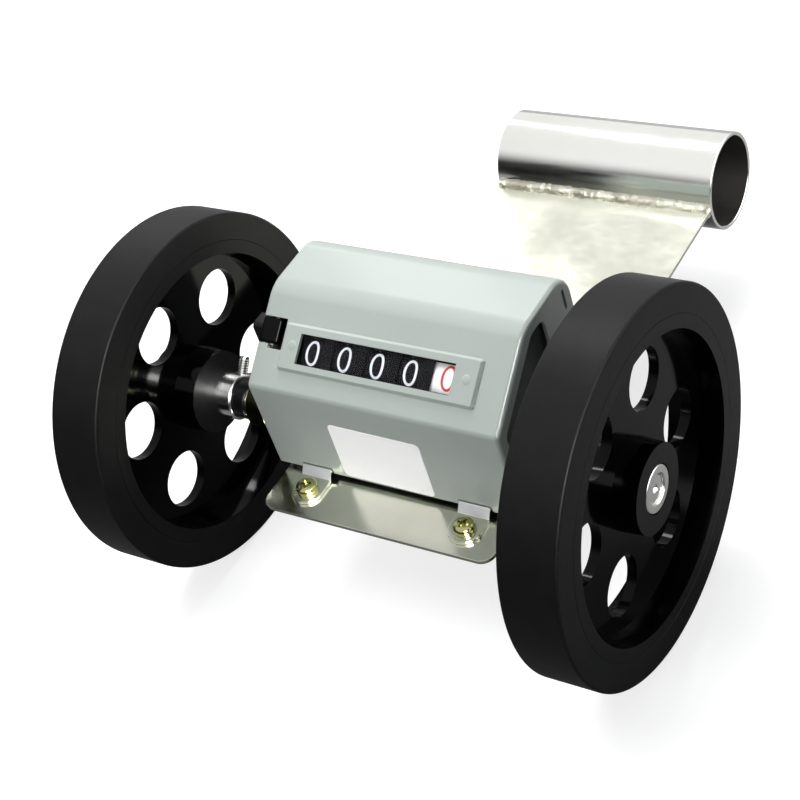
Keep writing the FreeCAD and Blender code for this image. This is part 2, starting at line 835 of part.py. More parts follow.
def cut_window_face(body):
    """The window, the rivets' holes and the stepped notch beside the reset lever."""
    base = dict(shift=(0, -size["cover_front"], size["crease_height"]), turn=slope)
    depth = size["cover_sheet"] + 2 * CUT_PAST
    window = window_with_border(size["lens_border"] + size["lens_gap"])
    add(body, "Pocket", outline(body, "XY_Plane", window, **base), depth)
    add(body, "Pocket", circles(body, "XY_Plane", *rivet_holes(), **base), depth)
    low = size["notch_start"]
    outer = -cover_side - CUT_PAST
    step = -cover_side + size["notch_step_width"]
    inner = -cover_side + size["notch_width"]
    notch = [
        (outer, low),
        (step, low),
        (step, low - size["notch_step"]),
        (inner, low - size["notch_step"]),
        (inner, size["notch_end"]),
        (outer, size["notch_end"]),
    ]
    add(body, "Pocket", outline(body, "XY_Plane", notch, **base), depth)


def window_with_border(border):
    """The window over the drums, wider by a border all round, in the window face's own axes."""
    low = size["window_start"] - border
    high = size["window_end"] + border
    return rectangle(window_left - border, window_right + border, low, high)


def rivet_holes():
    """The bezel's two rivets, in the window face's own axes."""
    return [(side * rivet_x, size["rivet_place"], size["rivet_shank"]) for side in (-1, 1)]


def place_on_window(body):
    place(body, 0, -size["cover_front"], size["crease_height"], slope)


def make_bezel():
    body = new_body("window_bezel")
    outer = rectangle(-bezel_side, bezel_side, size["bezel_start"], size["bezel_end"])
    add(body, "Pad", outline(body, "XY_Plane", outer, window_with_border(0)), size["bezel_thickness"])

    def top_edge(edge):
        return near(edge.BoundBox.ZMin, size["bezel_thickness"])

    def is_view_edge(edge):
        return top_edge(edge) and (near(edge.BoundBox.XMin, window_left) or near(edge.BoundBox.XMax, window_right))

    dress(body, "Chamfer", size["bezel_bevel"], is_view_edge)

    def is_outer_edge(edge):
        box = edge.BoundBox
        at_side = near(box.XMax, bezel_side) or near(box.XMin, -bezel_side)
        at_row = near(box.YMin, size["bezel_end"]) or near(box.YMax, size["bezel_start"])
        return top_edge(edge) and (at_side or at_row)

    dress(body, "Fillet", size["bezel_rounding"], is_outer_edge)
    add(body, "Pocket", circles(body, "XY_Plane", *rivet_holes()), None, both_ways=True)
    place_on_window(body)


def make_rivets():
    body = new_body("bezel_rivets")
    shank = size["rivet_shank"] / 2
    head = size["rivet_head"] / 2
    base = size["bezel_thickness"]
    top = base + size["rivet_height"]
    foot = -size["cover_sheet"]
    profile = [(0, foot), (shank, foot), (shank, base), (head, base), (size["rivet_crown"] / 2, top), (0, top)]
    shift = (rivet_x, 0, -size["rivet_place"])
    revolve(body, outline(body, "XZ_Plane", profile, shift=shift), "V_Axis")
    mirror(body, "YZ_Plane")
    place_on_window(body)


def make_lens():
    body = new_body("window_lens")
    pane = outline(body, "XY_Plane", window_with_border(size["lens_border"]))
    add(body, "Pad", pane, size["lens_thickness"], reverse=True)
    place_on_window(body)


def make_label():
    body = new_body("label")
    half_x = size["label_width"] / 2
    half_z = size["label_height"] / 2
    card = outline(body, "XZ_Plane", rectangle(-half_x, half_x, -half_z, half_z))
    add(body, "Pad", card, size["label_thickness"])
    dress(body, "Fillet", size["label_corner"], lambda edge: lies_along(edge, "y"))
    centre_z = size["label_bottom"] + half_z
    across = FreeCAD.Vector(0, 1, 0)
    place(body, size["label_centre"], -size["cover_front"], centre_z, size["label_turn"], across)


# ---------------------------------------------------------------- chassis

def make_chassis():
    """Base, two side plates and four joggled ears, about the middle of the cover."""
    body = new_body("chassis_frame")
    sheet = size["chassis_sheet"]
    base = rectangle(-chassis_side, chassis_side, -chassis_half, chassis_half)
    add(body, "Pad", outline(body, "XY_Plane", base, shift=(0, 0, base_bottom)), sheet)

    # The side plates follow the cover's outline, one clearance inside its sheet.
    front, back = -chassis_half, chassis_half
    top = size["cover_top"] - chassis_margin
    shoulder = size["crease_height"] - chassis_margin / cosine(slope) + chassis_margin * tangent(slope)
    brow = front + (top - shoulder) / tangent(slope)
    side = [(front, base_bottom), (front, shoulder), (brow, top), (back, top), (back, base_bottom)]
    add(body, "Pad", outline(body, "YZ_Plane", side, shift=(0, 0, chassis_inside)), sheet)

    def is_upper_back_corner(edge):
        return lies_along(edge, "x") and near(edge.BoundBox.YMin, back) and near(edge.BoundBox.ZMin, top)

    dress(body, "Fillet", size["back_rounding"] - chassis_margin, is_upper_back_corner)

    # Rear flange that the cover is screwed to.
    flange_back = chassis_half + size["chassis_clearance"] - size["flange_gap"]
    flange = rectangle(
        chassis_inside - size["flange_width"],
        chassis_side,
        size["flange_bottom"],
        size["flange_bottom"] + size["flange_height"],
    )
    add(body, "Pad", outline(body, "XZ_Plane", flange, shift=(0, 0, -flange_back)), sheet)
    tapped = circles(
        body,
        "XZ_Plane",
        (cover_screw_x, cover_screw_z, size["cover_screw_diameter"]),
        shift=(0, 0, -flange_back - CUT_PAST),
    )
    add(body, "Pocket", tapped, sheet + 2 * CUT_PAST, reverse=True)

    for way in (-1, 1):
        add_ear(body, way)

    def is_fold(edge):
        box = edge.BoundBox
        return lies_along(edge, "y") and near(box.XMin, chassis_side) and near(box.ZMin, base_bottom)

    dress(body, "Fillet", size["chassis_bend"], is_fold)
    mirror(body, "YZ_Plane")
    bores = [
        (axle_y - chassis_middle, axle_z, size["bush_neck_diameter"]),
        (drum_y - chassis_middle, drum_z, size["drum_bush_neck"]),
        (transfer_y - chassis_middle, transfer_z, size["transfer_shaft_diameter"]),
        (tie_rod_y - chassis_middle, tie_rod_z, size["tie_rod_diameter"]),
    ]
    add(body, "Pocket", circles(body, "YZ_Plane", *bores), None, both_ways=True)
    place(body, 0, chassis_middle, 0)


def add_ear(body, way):
    """An ear at the front (-1) or the back (1): flat on the plate, then up to the base."""
    sheet = size["chassis_sheet"]
    face = (size["cover_front"] - size["cover_back"]) / 2
    end = face + size["ear_reach"]
    bend = face + size["joggle_start"]
    foot = bend + size["joggle_run"]
    root = chassis_half - sheet
    low = plate_top
    under = [(root, base_bottom), (bend, base_bottom), (foot, low), (end, low)]
    over = [(end, low + sheet), (foot, low + sheet), (bend, base_top), (root, base_top)]
    side = [(way * y, z) for y, z in under + over]
    sketch = outline(body, "YZ_Plane", side, shift=(0, 0, screw_x - size["ear_width"] / 2))
    add(body, "Pad", sketch, size["ear_width"])

    def is_corner(edge):
        return lies_along(edge, "z") and near(edge.BoundBox.YMin, way * end)

    dress(body, "Fillet", size["ear_width"] / 2 - FILLET_SLACK, is_corner)
    hole = circles(body, "XY_Plane", (screw_x, way * screw_y, size["screw_hole"]))
    add(body, "Pocket", hole, base_top + CUT_PAST, reverse=True)


def make_foot_fixings():
    screws = new_body("foot_screws")
    shank = size["screw_diameter"] / 2
    head = size["screw_head"] / 2
    seat = plate_top + size["chassis_sheet"]
    top = seat + size["screw_head_height"]
    shoulder = seat + size["screw_head_side"]
    crown = size["screw_head_crown"] / 2
    nut_bottom = -plate_top - size["nut_height"]
    tail = nut_bottom - size["screw_tail"]
    profile = [(0, tail), (shank, tail), (shank, seat), (head, seat), (head, shoulder), (crown, top), (0, top)]
    revolve(screws, outline(screws, "XZ_Plane", profile, shift=(screw_x, 0, screw_y)), "V_Axis")

    nuts = new_body("foot_nuts")
    reach = size["nut_flats"] / math.sqrt(3)
    hexagon = [
        (screw_x + reach * math.cos(math.radians(60 * step)), reach * math.sin(math.radians(60 * step)) - screw_y)
        for step in range(6)
    ]
    nut = outline(nuts, "XY_Plane", hexagon, shift=(0, 0, nut_bottom))
    add(nuts, "Pad", nut, size["nut_height"])
    bore = circles(nuts, "XY_Plane", (screw_x, -screw_y, size["screw_diameter"]), shift=(0, 0, -plate_top))
    add(nuts, "Pocket", bore, size["nut_height"])
    for body in (screws, nuts):
        mirror(body, "YZ_Plane")
        mirror(body, "XZ_Plane")
        place(body, 0, chassis_middle, 0)


def make_cover_screws():
    body = new_body("cover_screws")
    shank = size["cover_screw_diameter"] / 2
    head = size["cover_screw_head"] / 2
    top = size["cover_screw_head_height"]
    foot = -size["cover_screw_length"]
    shoulder, crown = size["cover_screw_head_side"], size["cover_screw_head_crown"] / 2
    profile = [(0, foot), (shank, foot), (shank, 0), (head, 0), (head, shoulder), (crown, top), (0, top)]
    sketch = outline(body, "XY_Plane", profile, shift=(cover_screw_x, 0, cover_screw_z))
    revolve(body, sketch, "V_Axis")
    mirror(body, "YZ_Plane")
    place(body, 0, -size["cover_back"], 0)


def make_tie_rod():
    body = turned("tie_rod", rectangle(-chassis_side, chassis_side, 0, size["tie_rod_diameter"] / 2))
    place(body, 0, tie_rod_y, tie_rod_z)


# ---------------------------------------------------------------- counting train

def make_drum(index):
    """A drum with its carry teeth at the left and, but for the last, a gear at the right."""
    last = index == DRUM_COUNT - 1
    hub = size["drum_hub_diameter"] / 2
    hollow = size["drum_rim_inner"] / 2
    disc = size["carry_disc_diameter"] / 2
    face = size["drum_diameter"] / 2
    gear_root = root_radius(size["drum_teeth"], size["transfer_module"])
    web_at = drum_half - size["gear_zone"] - size["drum_web"]
    rim_at = size["carry_width"] - drum_half
    profile = [
        (-drum_hub_end, drum_bore),
        (-drum_hub_end, hub),
        (web_at, hub),
        (web_at, hollow),
        (-drum_half, hollow),
        (-drum_half, disc),
        (rim_at, disc),
        (rim_at, face),
        (drum_gear_start, face),
        (drum_gear_start, gear_root),
        (drum_half, gear_root),
        (drum_half, hub),
        (drum_hub_end, hub),
        (drum_hub_end, drum_bore),
    ]
    drum = turned(f"number_drum_{index + 1}", profile)
    if not last:
        add_teeth(drum, size["drum_teeth"], size["transfer_module"], drum_gear_start, size["gear_zone"])
    if index > 0:
        carry = (drum, size["drum_teeth"], size["transfer_module"], -drum_half, size["carry_width"])
        add_teeth(*carry, count=Size.of(2))
    place(drum, drum_centres[index], drum_y, drum_z, size["transfer_turn"])


def make_input_gear():
    hub = size["drum_hub_diameter"] / 2
    start, end = input_gear_start, input_gear_end
    root = root_radius(size["input_teeth"], input_module)
    step_end = end + size["drum_hub_stand_out"]
    profile = [(start, drum_bore), (start, root), (end, root), (end, hub), (step_end, hub), (step_end, drum_bore)]
    gear = turned("input_gear", profile)
    add_teeth(gear, size["input_teeth"], input_module, start, size["input_gear_width"])
    half_step = HALF_TURN / size["input_teeth"]
    place(gear, 0, drum_y, drum_z, gear_heading + HALF_TURN + half_step)


def make_axle_pinion():
    bore = size["journal_diameter"] / 2
    start = input_gear_start - size["pinion_overlap"]
    end = input_gear_end + size["pinion_overlap"]
    root = root_radius(size["axle_teeth"], input_module)
    hub = size["pinion_hub_diameter"] / 2
    hub_end = end + size["pinion_hub_length"]
    profile = [(start, bore), (start, root), (end, root), (end, hub), (hub_end, hub), (hub_end, bore)]
    pinion = turned("axle_pinion", profile)
    add_teeth(pinion, size["axle_teeth"], input_module, start, end - start)
    place_on_axle(pinion, gear_heading)


def make_transfer_pinions():
    bore = size["transfer_shaft_diameter"] / 2 + size["running_gap"]
    hub = size["transfer_hub_diameter"] / 2
    teeth, module = size["transfer_teeth"], size["transfer_module"]
    root = root_radius(teeth, module)
    start, width = transfer_start, transfer_width
    half_step = HALF_TURN / teeth
    for index in range(DRUM_COUNT - 1):
        toothed_end = start + width
        profile = [(start, bore), (start, root), (toothed_end, root), (toothed_end, hub)]
        profile += [(transfer_hub_end, hub), (transfer_hub_end, bore)]
        pinion = turned(f"transfer_pinion_{index + 1}", profile)
        add_teeth(pinion, teeth, module, start, width)
        turn = size["transfer_turn"] + HALF_TURN + half_step
        place(pinion, drum_centres[index], transfer_y, transfer_z, turn)


def make_transfer_shaft():
    radius = size["transfer_shaft_diameter"] / 2
    shaft = turned("pinion_shaft", rectangle(-chassis_side, chassis_side, 0, radius))
    place(shaft, 0, transfer_y, transfer_z)
    gap, thickness = size["transfer_gap"], size["clip_thickness"]
    left_end = drum_centres[0] + transfer_start - gap
    right_start = drum_centres[-2] + transfer_hub_end + gap
    rim = size["clip_diameter"] / 2
    clips = new_body("pinion_shaft_clips")
    for start in (left_end - thickness, right_start):
        ring = outline(clips, "XY_Plane", rectangle(start, start + thickness, radius, rim))
        revolve(clips, ring, "H_Axis")
    place(clips, 0, transfer_y, transfer_z)


def make_drum_shaft():
    radius = size["drum_shaft_diameter"] / 2
    right = chassis_side
    shaft = turned("drum_shaft", rectangle(-lever_end, right, 0, radius))
    width = size["reset_groove_width"] / 2
    groove_end = chassis_inside - size["drum_bush_head_length"]
    groove = outline(shaft, "XY_Plane", rectangle(-groove_end, groove_end, -width, width), shift=(0, 0, radius))
    add(shaft, "Pocket", groove, size["reset_groove_depth"])
    place(shaft, 0, drum_y, drum_z)

    bore = radius + size["running_gap"]
    head_start = chassis_inside - size["drum_bush_head_length"]
    head = size["drum_bush_head"] / 2
    neck = size["drum_bush_neck"] / 2
    bush = [(head_start, bore), (head_start, head), (chassis_inside, head), (chassis_inside, neck)]
    bush += [(chassis_side, neck), (chassis_side, bore)]
    bushes = turned("drum_shaft_bushes", bush)
    mirror(bushes, "YZ_Plane")
    place(bushes, 0, drum_y, drum_z)

    spacer = size["drum_hub_diameter"] / 2
    play = size["axial_play"]
    left_end = drum_centres[0] - drum_hub_end - play
    right_start = input_gear_end + size["drum_hub_stand_out"] + play
    spans = {"left": (-head_start + play, left_end), "right": (right_start, head_start - play)}
    for name, (start, end) in spans.items():
        tube = turned(f"drum_spacer_{name}", rectangle(start, end, radius, spacer))
        place(tube, 0, drum_y, drum_z)


def make_reset_lever():
    """A short lever on the end of the drum shaft, its tip rounded about the shaft."""
    body = new_body("reset_lever")
    reach = size["lever_reach"]
    half_width = size["lever_width"] / 2
    outer_face = size["lever_wing_step"] - lever_end
    thickness = size["lever_thickness"] - 2 * size["lever_wing_step"]
    wing = outline(body, "YZ_Plane", rectangle(-half_width, half_width, 0, reach), shift=(0, 0, outer_face))
    add(body, "Pad", wing, thickness)
    beyond = circles(body, "YZ_Plane", (0, 0, 2 * reach), (0, 0, 3 * reach), shift=(0, 0, outer_face - CUT_PAST))
    add(body, "Pocket", beyond, thickness + 2 * CUT_PAST, reverse=True)

    def is_face_edge(edge):
        at = edge.BoundBox.XMax
        return edge.BoundBox.XLength < 0.01 and (near(at, outer_face) or near(at, outer_face + thickness))

    dress(body, "Chamfer", size["lever_bevel"], is_face_edge)
    hub = size["lever_hub_diameter"] / 2
    neck = size["lever_neck_diameter"] / 2
    bevel = size["lever_bevel"]
    neck_start = chassis_side + size["lever_gap"]
    profile = [(-lever_end, 0), (-lever_end, hub - bevel), (bevel - lever_end, hub), (-lever_start, hub)]
    profile += [(-lever_start, neck), (-neck_start, neck), (-neck_start, 0)]
    revolve(body, outline(body, "XY_Plane", profile), "H_Axis")
    bore = circles(body, "YZ_Plane", (0, 0, size["drum_shaft_diameter"]))
    add(body, "Pocket", bore, None, both_ways=True)
    place(body, 0, drum_y, drum_z)


# ---------------------------------------------------------------- build and write

def check_document():
    for thing in doc.Objects:
        faults = [state for state in thing.State if state in ("Invalid", "Error")]
        if faults:
            raise RuntimeError(f"{thing.Label} is {faults}")
    for piece in pieces:
        if piece.Shape.isNull() or not piece.Shape.isValid():
            raise RuntimeError(f"{piece.Label} has no valid shape")


def write_pieces():
    os.makedirs("parts", exist_ok=True)
    for piece in pieces:
        piece.Shape.exportStep(os.path.join("parts", f"{piece.Label}.step"))
        print(f"{piece.Label}: {len(piece.Shape.Solids)} solid(s), {piece.Shape.Volume:.1f} mm3")


def main():
    make_rod_tube()
    make_arm_plate()
    make_weld_bead()
    for side, name in ((LEFT, "left"), (RIGHT, "right")):
        make_wheel(side, name, size[f"{name}_wheel_turn"])
        make_sleeve(side, name)
    make_wheel_shaft()
    make_axle_rings()
    make_cover()
    make_bezel()
    make_rivets()
    make_lens()
    make_label()
    make_chassis()
    make_foot_fixings()
    make_cover_screws()
    make_tie_rod()
    for index in range(DRUM_COUNT):
        make_drum(index)
    make_input_gear()
    make_axle_pinion()
    make_transfer_pinions()
    make_transfer_shaft()
    make_drum_shaft()
    make_reset_lever()
    doc.recompute()
    check_document()
    write_pieces()


main()
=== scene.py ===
"""Dressed model of a cable length counter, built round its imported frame.

The frame gives every body and its place. The classes below model what shows, in
the frame's own axes: +X along the rod tube and the axle, -Y to the front where the
wheels are, +Z up from the arm plate. Sizes are in millimetres and angles in degrees;
the workshop functions turn them into metres and radians.
"""
import logging
import math
from dataclasses import dataclass
from enum import Enum
from functools import cache
from typing import Callable, Sequence

import bmesh
import bpy
from mathutils import Matrix, Vector


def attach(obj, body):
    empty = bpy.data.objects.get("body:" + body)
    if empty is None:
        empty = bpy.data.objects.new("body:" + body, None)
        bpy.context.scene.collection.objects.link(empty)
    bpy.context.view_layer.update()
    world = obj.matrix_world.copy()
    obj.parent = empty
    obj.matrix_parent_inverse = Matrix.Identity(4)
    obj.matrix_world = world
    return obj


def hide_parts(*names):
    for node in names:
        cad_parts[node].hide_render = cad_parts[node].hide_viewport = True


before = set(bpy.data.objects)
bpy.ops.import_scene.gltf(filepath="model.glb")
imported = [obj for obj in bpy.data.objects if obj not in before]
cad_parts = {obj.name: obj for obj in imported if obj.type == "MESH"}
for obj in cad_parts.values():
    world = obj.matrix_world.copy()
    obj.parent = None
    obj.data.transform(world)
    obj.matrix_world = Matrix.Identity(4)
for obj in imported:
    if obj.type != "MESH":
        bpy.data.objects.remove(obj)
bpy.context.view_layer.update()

log = logging.getLogger("length_counter")

MM = 0.001
MERGE_DISTANCE = 0.002
SMOOTH_ANGLE = 35.0
WHITE = (1.0, 1.0, 1.0)
WHOLE = (0.0, 1.0)
FACING = 0.9
Piece = bpy.types.Object
Socket = bpy.types.NodeSocket
Material = bpy.types.Material
Point = tuple[float, float]
Triple = tuple[float, float, float]
Feed = Socket | float | Sequence[float]
Feeds = dict[str | int, Feed]
Outputs = Sequence[Socket]
Tree = bpy.types.NodeTree
Test = Callable[[Vector, Vector], bool]


class Axis(Enum):
    """The line that a turned piece is turned about."""

    X = (1.0, 0.0, 0.0)
    Z = (0.0, 0.0, 1.0)


class Side(Enum):
    """The left or right end of the counter, by the sign of X."""

    LEFT = -1
    RIGHT = 1

    @property
    def word(self) -> str:
        """The side's name as it stands in the frame's node names."""
        return self.name.lower()


# ------------------------------------------------------------------ workshop


def lay_down() -> None:
    """Leaves edit mode and lets go of everything that is selected."""
    if bpy.context.object and bpy.context.object.mode == "EDIT":
        bpy.ops.object.mode_set(mode="OBJECT")
    bpy.ops.object.select_all(action="DESELECT")


def take_up(piece: Piece) -> None:
    """Makes one piece the only one that is selected and active.

    Args:
        piece: The piece.
    """
    lay_down()
    piece.select_set(True)
    bpy.context.view_layer.objects.active = piece


def freeze(piece: Piece) -> None:
    """Moves the piece's place, turn and scale into its mesh."""
    take_up(piece)
    bpy.ops.object.transform_apply(location=True, rotation=True, scale=True)


def open_up(piece: Piece, name: str = "") -> Piece:
    """Opens a piece in edit mode with all of it selected.

    Args:
        piece: The piece to open.
        name: Its new name, if it gets one.

    Returns:
        The same piece.
    """
    if name:
        piece.name = piece.data.name = name
    freeze(piece)
    bpy.ops.object.mode_set(mode="EDIT")
    bpy.ops.mesh.select_mode(type="VERT")
    bpy.ops.mesh.select_all(action="SELECT")
    return piece


def close_up(piece: Piece) -> Piece:
    """Merges the open piece's doubles, points its faces outwards and lays it down.

    Args:
        piece: The piece that is open.

    Returns:
        The same piece.
    """
    bpy.ops.mesh.select_mode(type="VERT")
    bpy.ops.mesh.select_all(action="SELECT")
    bpy.ops.mesh.remove_doubles(threshold=MERGE_DISTANCE * MM)
    bpy.ops.mesh.normals_make_consistent(inside=False)
    lay_down()
    return piece


def choose(kind: str, wanted: Callable[[bmesh.types.BMFace | bmesh.types.BMEdge], bool]) -> int:
    """Selects those faces or edges of the open piece that are wanted, and no others.

    Args:
        kind: FACE or EDGE.
        wanted: Says whether one is wanted.

    Returns:
        How many were selected.
    """
    bpy.ops.mesh.select_mode(type=kind)
    bpy.ops.mesh.select_all(action="DESELECT")
    mesh = bpy.context.edit_object.data
    shape = bmesh.from_edit_mesh(mesh)
    found = [part for part in (shape.faces if kind == "FACE" else shape.edges) if wanted(part)]
    for part in found:
        part.select_set(True)
    bmesh.update_edit_mesh(mesh)
    return len(found)


def choose_faces(test: Test) -> int:
    """Selects and counts the faces whose centre, in millimetres, and normal pass a test."""
    return choose("FACE", lambda face: test(face.calc_center_median() / MM, face.normal))


def choose_edges(test: Test) -> int:
    """Selects and counts the edges whose two ends, in millimetres, pass a test."""
    return choose("EDGE", lambda edge: test(edge.verts[0].co / MM, edge.verts[1].co / MM))


def round_edges(test: Test, width: float, segments: int) -> None:
    """Rounds those edges of the open piece whose two ends pass a test."""
    choose_edges(test)
    bpy.ops.mesh.bevel(offset_type="OFFSET", offset=width * MM, segments=segments, affect="EDGES")


def same(a: float, b: float, slack: float = 0.02) -> bool:
    """True where two numbers are as good as equal."""
    return abs(a - b) < slack


def runs_along(letter: str, **through: float) -> Test:
    """Makes a test for edges that run along one axis.

    Args:
        letter: x, y or z.
        **through: Where such an edge lies on the other axes, if that matters.

    Returns:
        A test of an edge's two ends.
    """

    def test(a: Vector, b: Vector) -> bool:
        """True for a wanted edge."""
        along = all(same(getattr(a, name), getattr(b, name)) for name in "xyz" if name != letter)
        return along and all(same(getattr(a, name), level) for name, level in through.items())

    return test


def lies_at(letter: str, level: float, slack: float = 0.02) -> Test:
    """Makes a test for edges with both ends at one level of the x, y or z axis."""
    return lambda a, b: all(same(getattr(end, letter), level, slack) for end in (a, b))


def modify(piece: Piece, kind: str, **settings: object) -> None:
    """Gives a piece a modifier and applies it.

    Args:
        piece: The piece to change.
        kind: The modifier's type.
        **settings: The modifier's properties.
    """
    take_up(piece)
    modifier = piece.modifiers.new(kind.title(), kind)
    for key, value in settings.items():
        setattr(modifier, key, value)
    bpy.ops.object.modifier_apply(modifier=modifier.name)


def bevel(piece: Piece, width: float, segments: int, angle: float) -> None:
    """Breaks the piece's edges that are sharper than an angle."""
    limit = math.radians(angle)
    modify(piece, "BEVEL", width=width * MM, segments=segments, limit_method="ANGLE", angle_limit=limit)


def cut(piece: Piece, *tools: Piece) -> None:
    """Cuts tools out of a piece and throws the tools away.

    Args:
        piece: The piece to cut.
        *tools: The cutting tools, one after another.
    """
    for tool in tools:
        modify(piece, "BOOLEAN", operation="DIFFERENCE", solver="EXACT", object=tool)
        bpy.data.objects.remove(tool, do_unlink=True)


def join(name: str, pieces: Sequence[Piece]) -> Piece:
    """Joins pieces into the first one.

    Args:
        name: The joined piece's name.
        pieces: The pieces to join.

    Returns:
        The joined piece.
    """
    take_up(pieces[0])
    for piece in pieces[1:]:
        piece.select_set(True)
    bpy.ops.object.join()
    pieces[0].name = pieces[0].data.name = name
    return pieces[0]


def copy_of(piece: Piece, name: str, matrix: Matrix) -> Piece:
    """Copies a piece, mesh and all, and moves the copy.

    Args:
        piece: What to copy.
        name: The copy's name.
        matrix: Where the copy goes, from where the piece is.

    Returns:
        The copy, frozen where it is.
    """
    take_up(piece)
    bpy.ops.object.duplicate(linked=False)
    copy = bpy.context.object
    copy.name = copy.data.name = name
    move_to(copy, matrix)
    if matrix.determinant() < 0:
        close_up(open_up(copy))
    return copy


def clear_away(*models: Piece) -> None:
    """Throws away models whose copies are in place."""
    for model in models:
        bpy.data.objects.remove(model, do_unlink=True)


def move_to(piece: Piece, matrix: Matrix) -> Piece:
    """Moves a piece and freezes it there.

    Args:
        piece: The piece to move.
        matrix: The move.

    Returns:
        The same piece.
    """
    piece.matrix_world = matrix @ piece.matrix_world
    freeze(piece)
    return piece


def shift(x: float = 0.0, y: float = 0.0, z: float = 0.0) -> Matrix:
    """A move by x, y and z millimetres."""
    return Matrix.Translation(Vector((x, y, z)) * MM)


def turn(angle: float, letter: str) -> Matrix:
    """A turn by an angle in degrees about one axis."""
    return Matrix.Rotation(math.radians(angle), 4, letter.upper())


def mirror_x() -> Matrix:
    """A reflection from one side of the counter to the other."""
    return Matrix.Scale(-1.0, 4, Vector((1.0, 0.0, 0.0)))


def block(name: str, low: Sequence[float], high: Sequence[float]) -> Piece:
    """Adds a block between two corners and opens it.

    Args:
        name: The piece's name.
        low: Its lowest corner.
        high: Its highest corner.

    Returns:
        The block, open in edit mode.
    """
    lay_down()
    middle = [(a + b) / 2 * MM for a, b in zip(low, high)]
    bpy.ops.mesh.primitive_cube_add(size=1.0, location=middle)
    bpy.context.object.scale = [(b - a) * MM for a, b in zip(low, high)]
    return open_up(bpy.context.object, name)


def rod(name: str, centre: Sequence[float], radius: float, length: float, axis: Axis, sides: int) -> Piece:
    """Adds a rod, for a cutting tool or a start, and opens it.

    Args:
        name: The piece's name.
        centre: Its middle.
        radius: Its radius.
        length: Its length.
        axis: The way it lies.
        sides: How many sides it has.

    Returns:
        The rod, open in edit mode.
    """
    lay_down()
    bpy.ops.mesh.primitive_cylinder_add(
        vertices=sides,
        radius=radius * MM,
        depth=length * MM,
        location=[part * MM for part in centre],
        rotation=(0.0, math.pi / 2, 0.0) if axis is Axis.X else (0.0, 0.0, 0.0),
    )
    return open_up(bpy.context.object, name)


def lathe(
    name: str, profile: Sequence[Point], axis: Axis = Axis.X, steps: int = 64, closed: bool = True
) -> Piece:
    """Turns a profile about an axis through the origin.

    A plane is merged to one point, the point is drawn along the profile, and the
    profile is spun once round.

    Args:
        name: The piece's name.
        profile: Points as distance along the axis and radius.
        axis: The axis.
        steps: How many steps make a full turn.
        closed: Whether the last point joins the first.

    Returns:
        The turned piece, laid down.
    """
    lay_down()
    places = [(along, 0.0, radius) if axis is Axis.X else (radius, 0.0, along) for along, radius in profile]
    spots = [Vector(place) * MM for place in places]
    if closed:
        spots.append(spots[0])
    bpy.ops.mesh.primitive_plane_add(size=MM, location=spots[0])
    piece = open_up(bpy.context.object, name)
    bpy.ops.mesh.merge(type="CENTER")
    for before, after in zip(spots, spots[1:]):
        bpy.ops.mesh.extrude_region_move(TRANSFORM_OT_translate={"value": after - before})
    bpy.ops.mesh.select_all(action="SELECT")
    bpy.ops.mesh.remove_doubles(threshold=MERGE_DISTANCE * MM)
    bpy.ops.mesh.select_all(action="SELECT")
    bpy.ops.mesh.spin(steps=steps, angle=2 * math.pi, center=(0.0, 0.0, 0.0), axis=axis.value)
    return close_up(piece)


def mirrored(near: Sequence[Point]) -> list[Point]:
    """A profile from its near half, with the far half as its mirror image."""
    return [*near, *((-along, radius) for along, radius in reversed(near))]


def ring_profile(start: float, end: float, inner: float, outer: float, edge: float) -> list[Point]:
    """The profile of a ring whose outer edges are broken.

    Args:
        start: Where it starts along the axis.
        end: Where it ends.
        inner: The radius of its bore.
        outer: Its own radius.
        edge: The width of the broken edges.

    Returns:
        The points, from the bore out, along and back in.
    """
    rise = [(start, inner), (start, outer - edge), (start + edge, outer)]
    return [*rise, (end - edge, outer), (end, outer - edge), (end, inner)]


def arc(centre: Point, radius: float, start: float, end: float, steps: int) -> list[Point]:
    """Points along an arc.

    Args:
        centre: The arc's centre.
        radius: Its radius.
        start: Its first angle.
        end: Its last angle.
        steps: How many runs it has.

    Returns:
        The points, both ends among them.
    """
    angles = [math.radians(start + (end - start) * index / steps) for index in range(steps + 1)]
    return [(centre[0] + radius * math.cos(angle), centre[1] + radius * math.sin(angle)) for angle in angles]


# ------------------------------------------------------------------ finishes


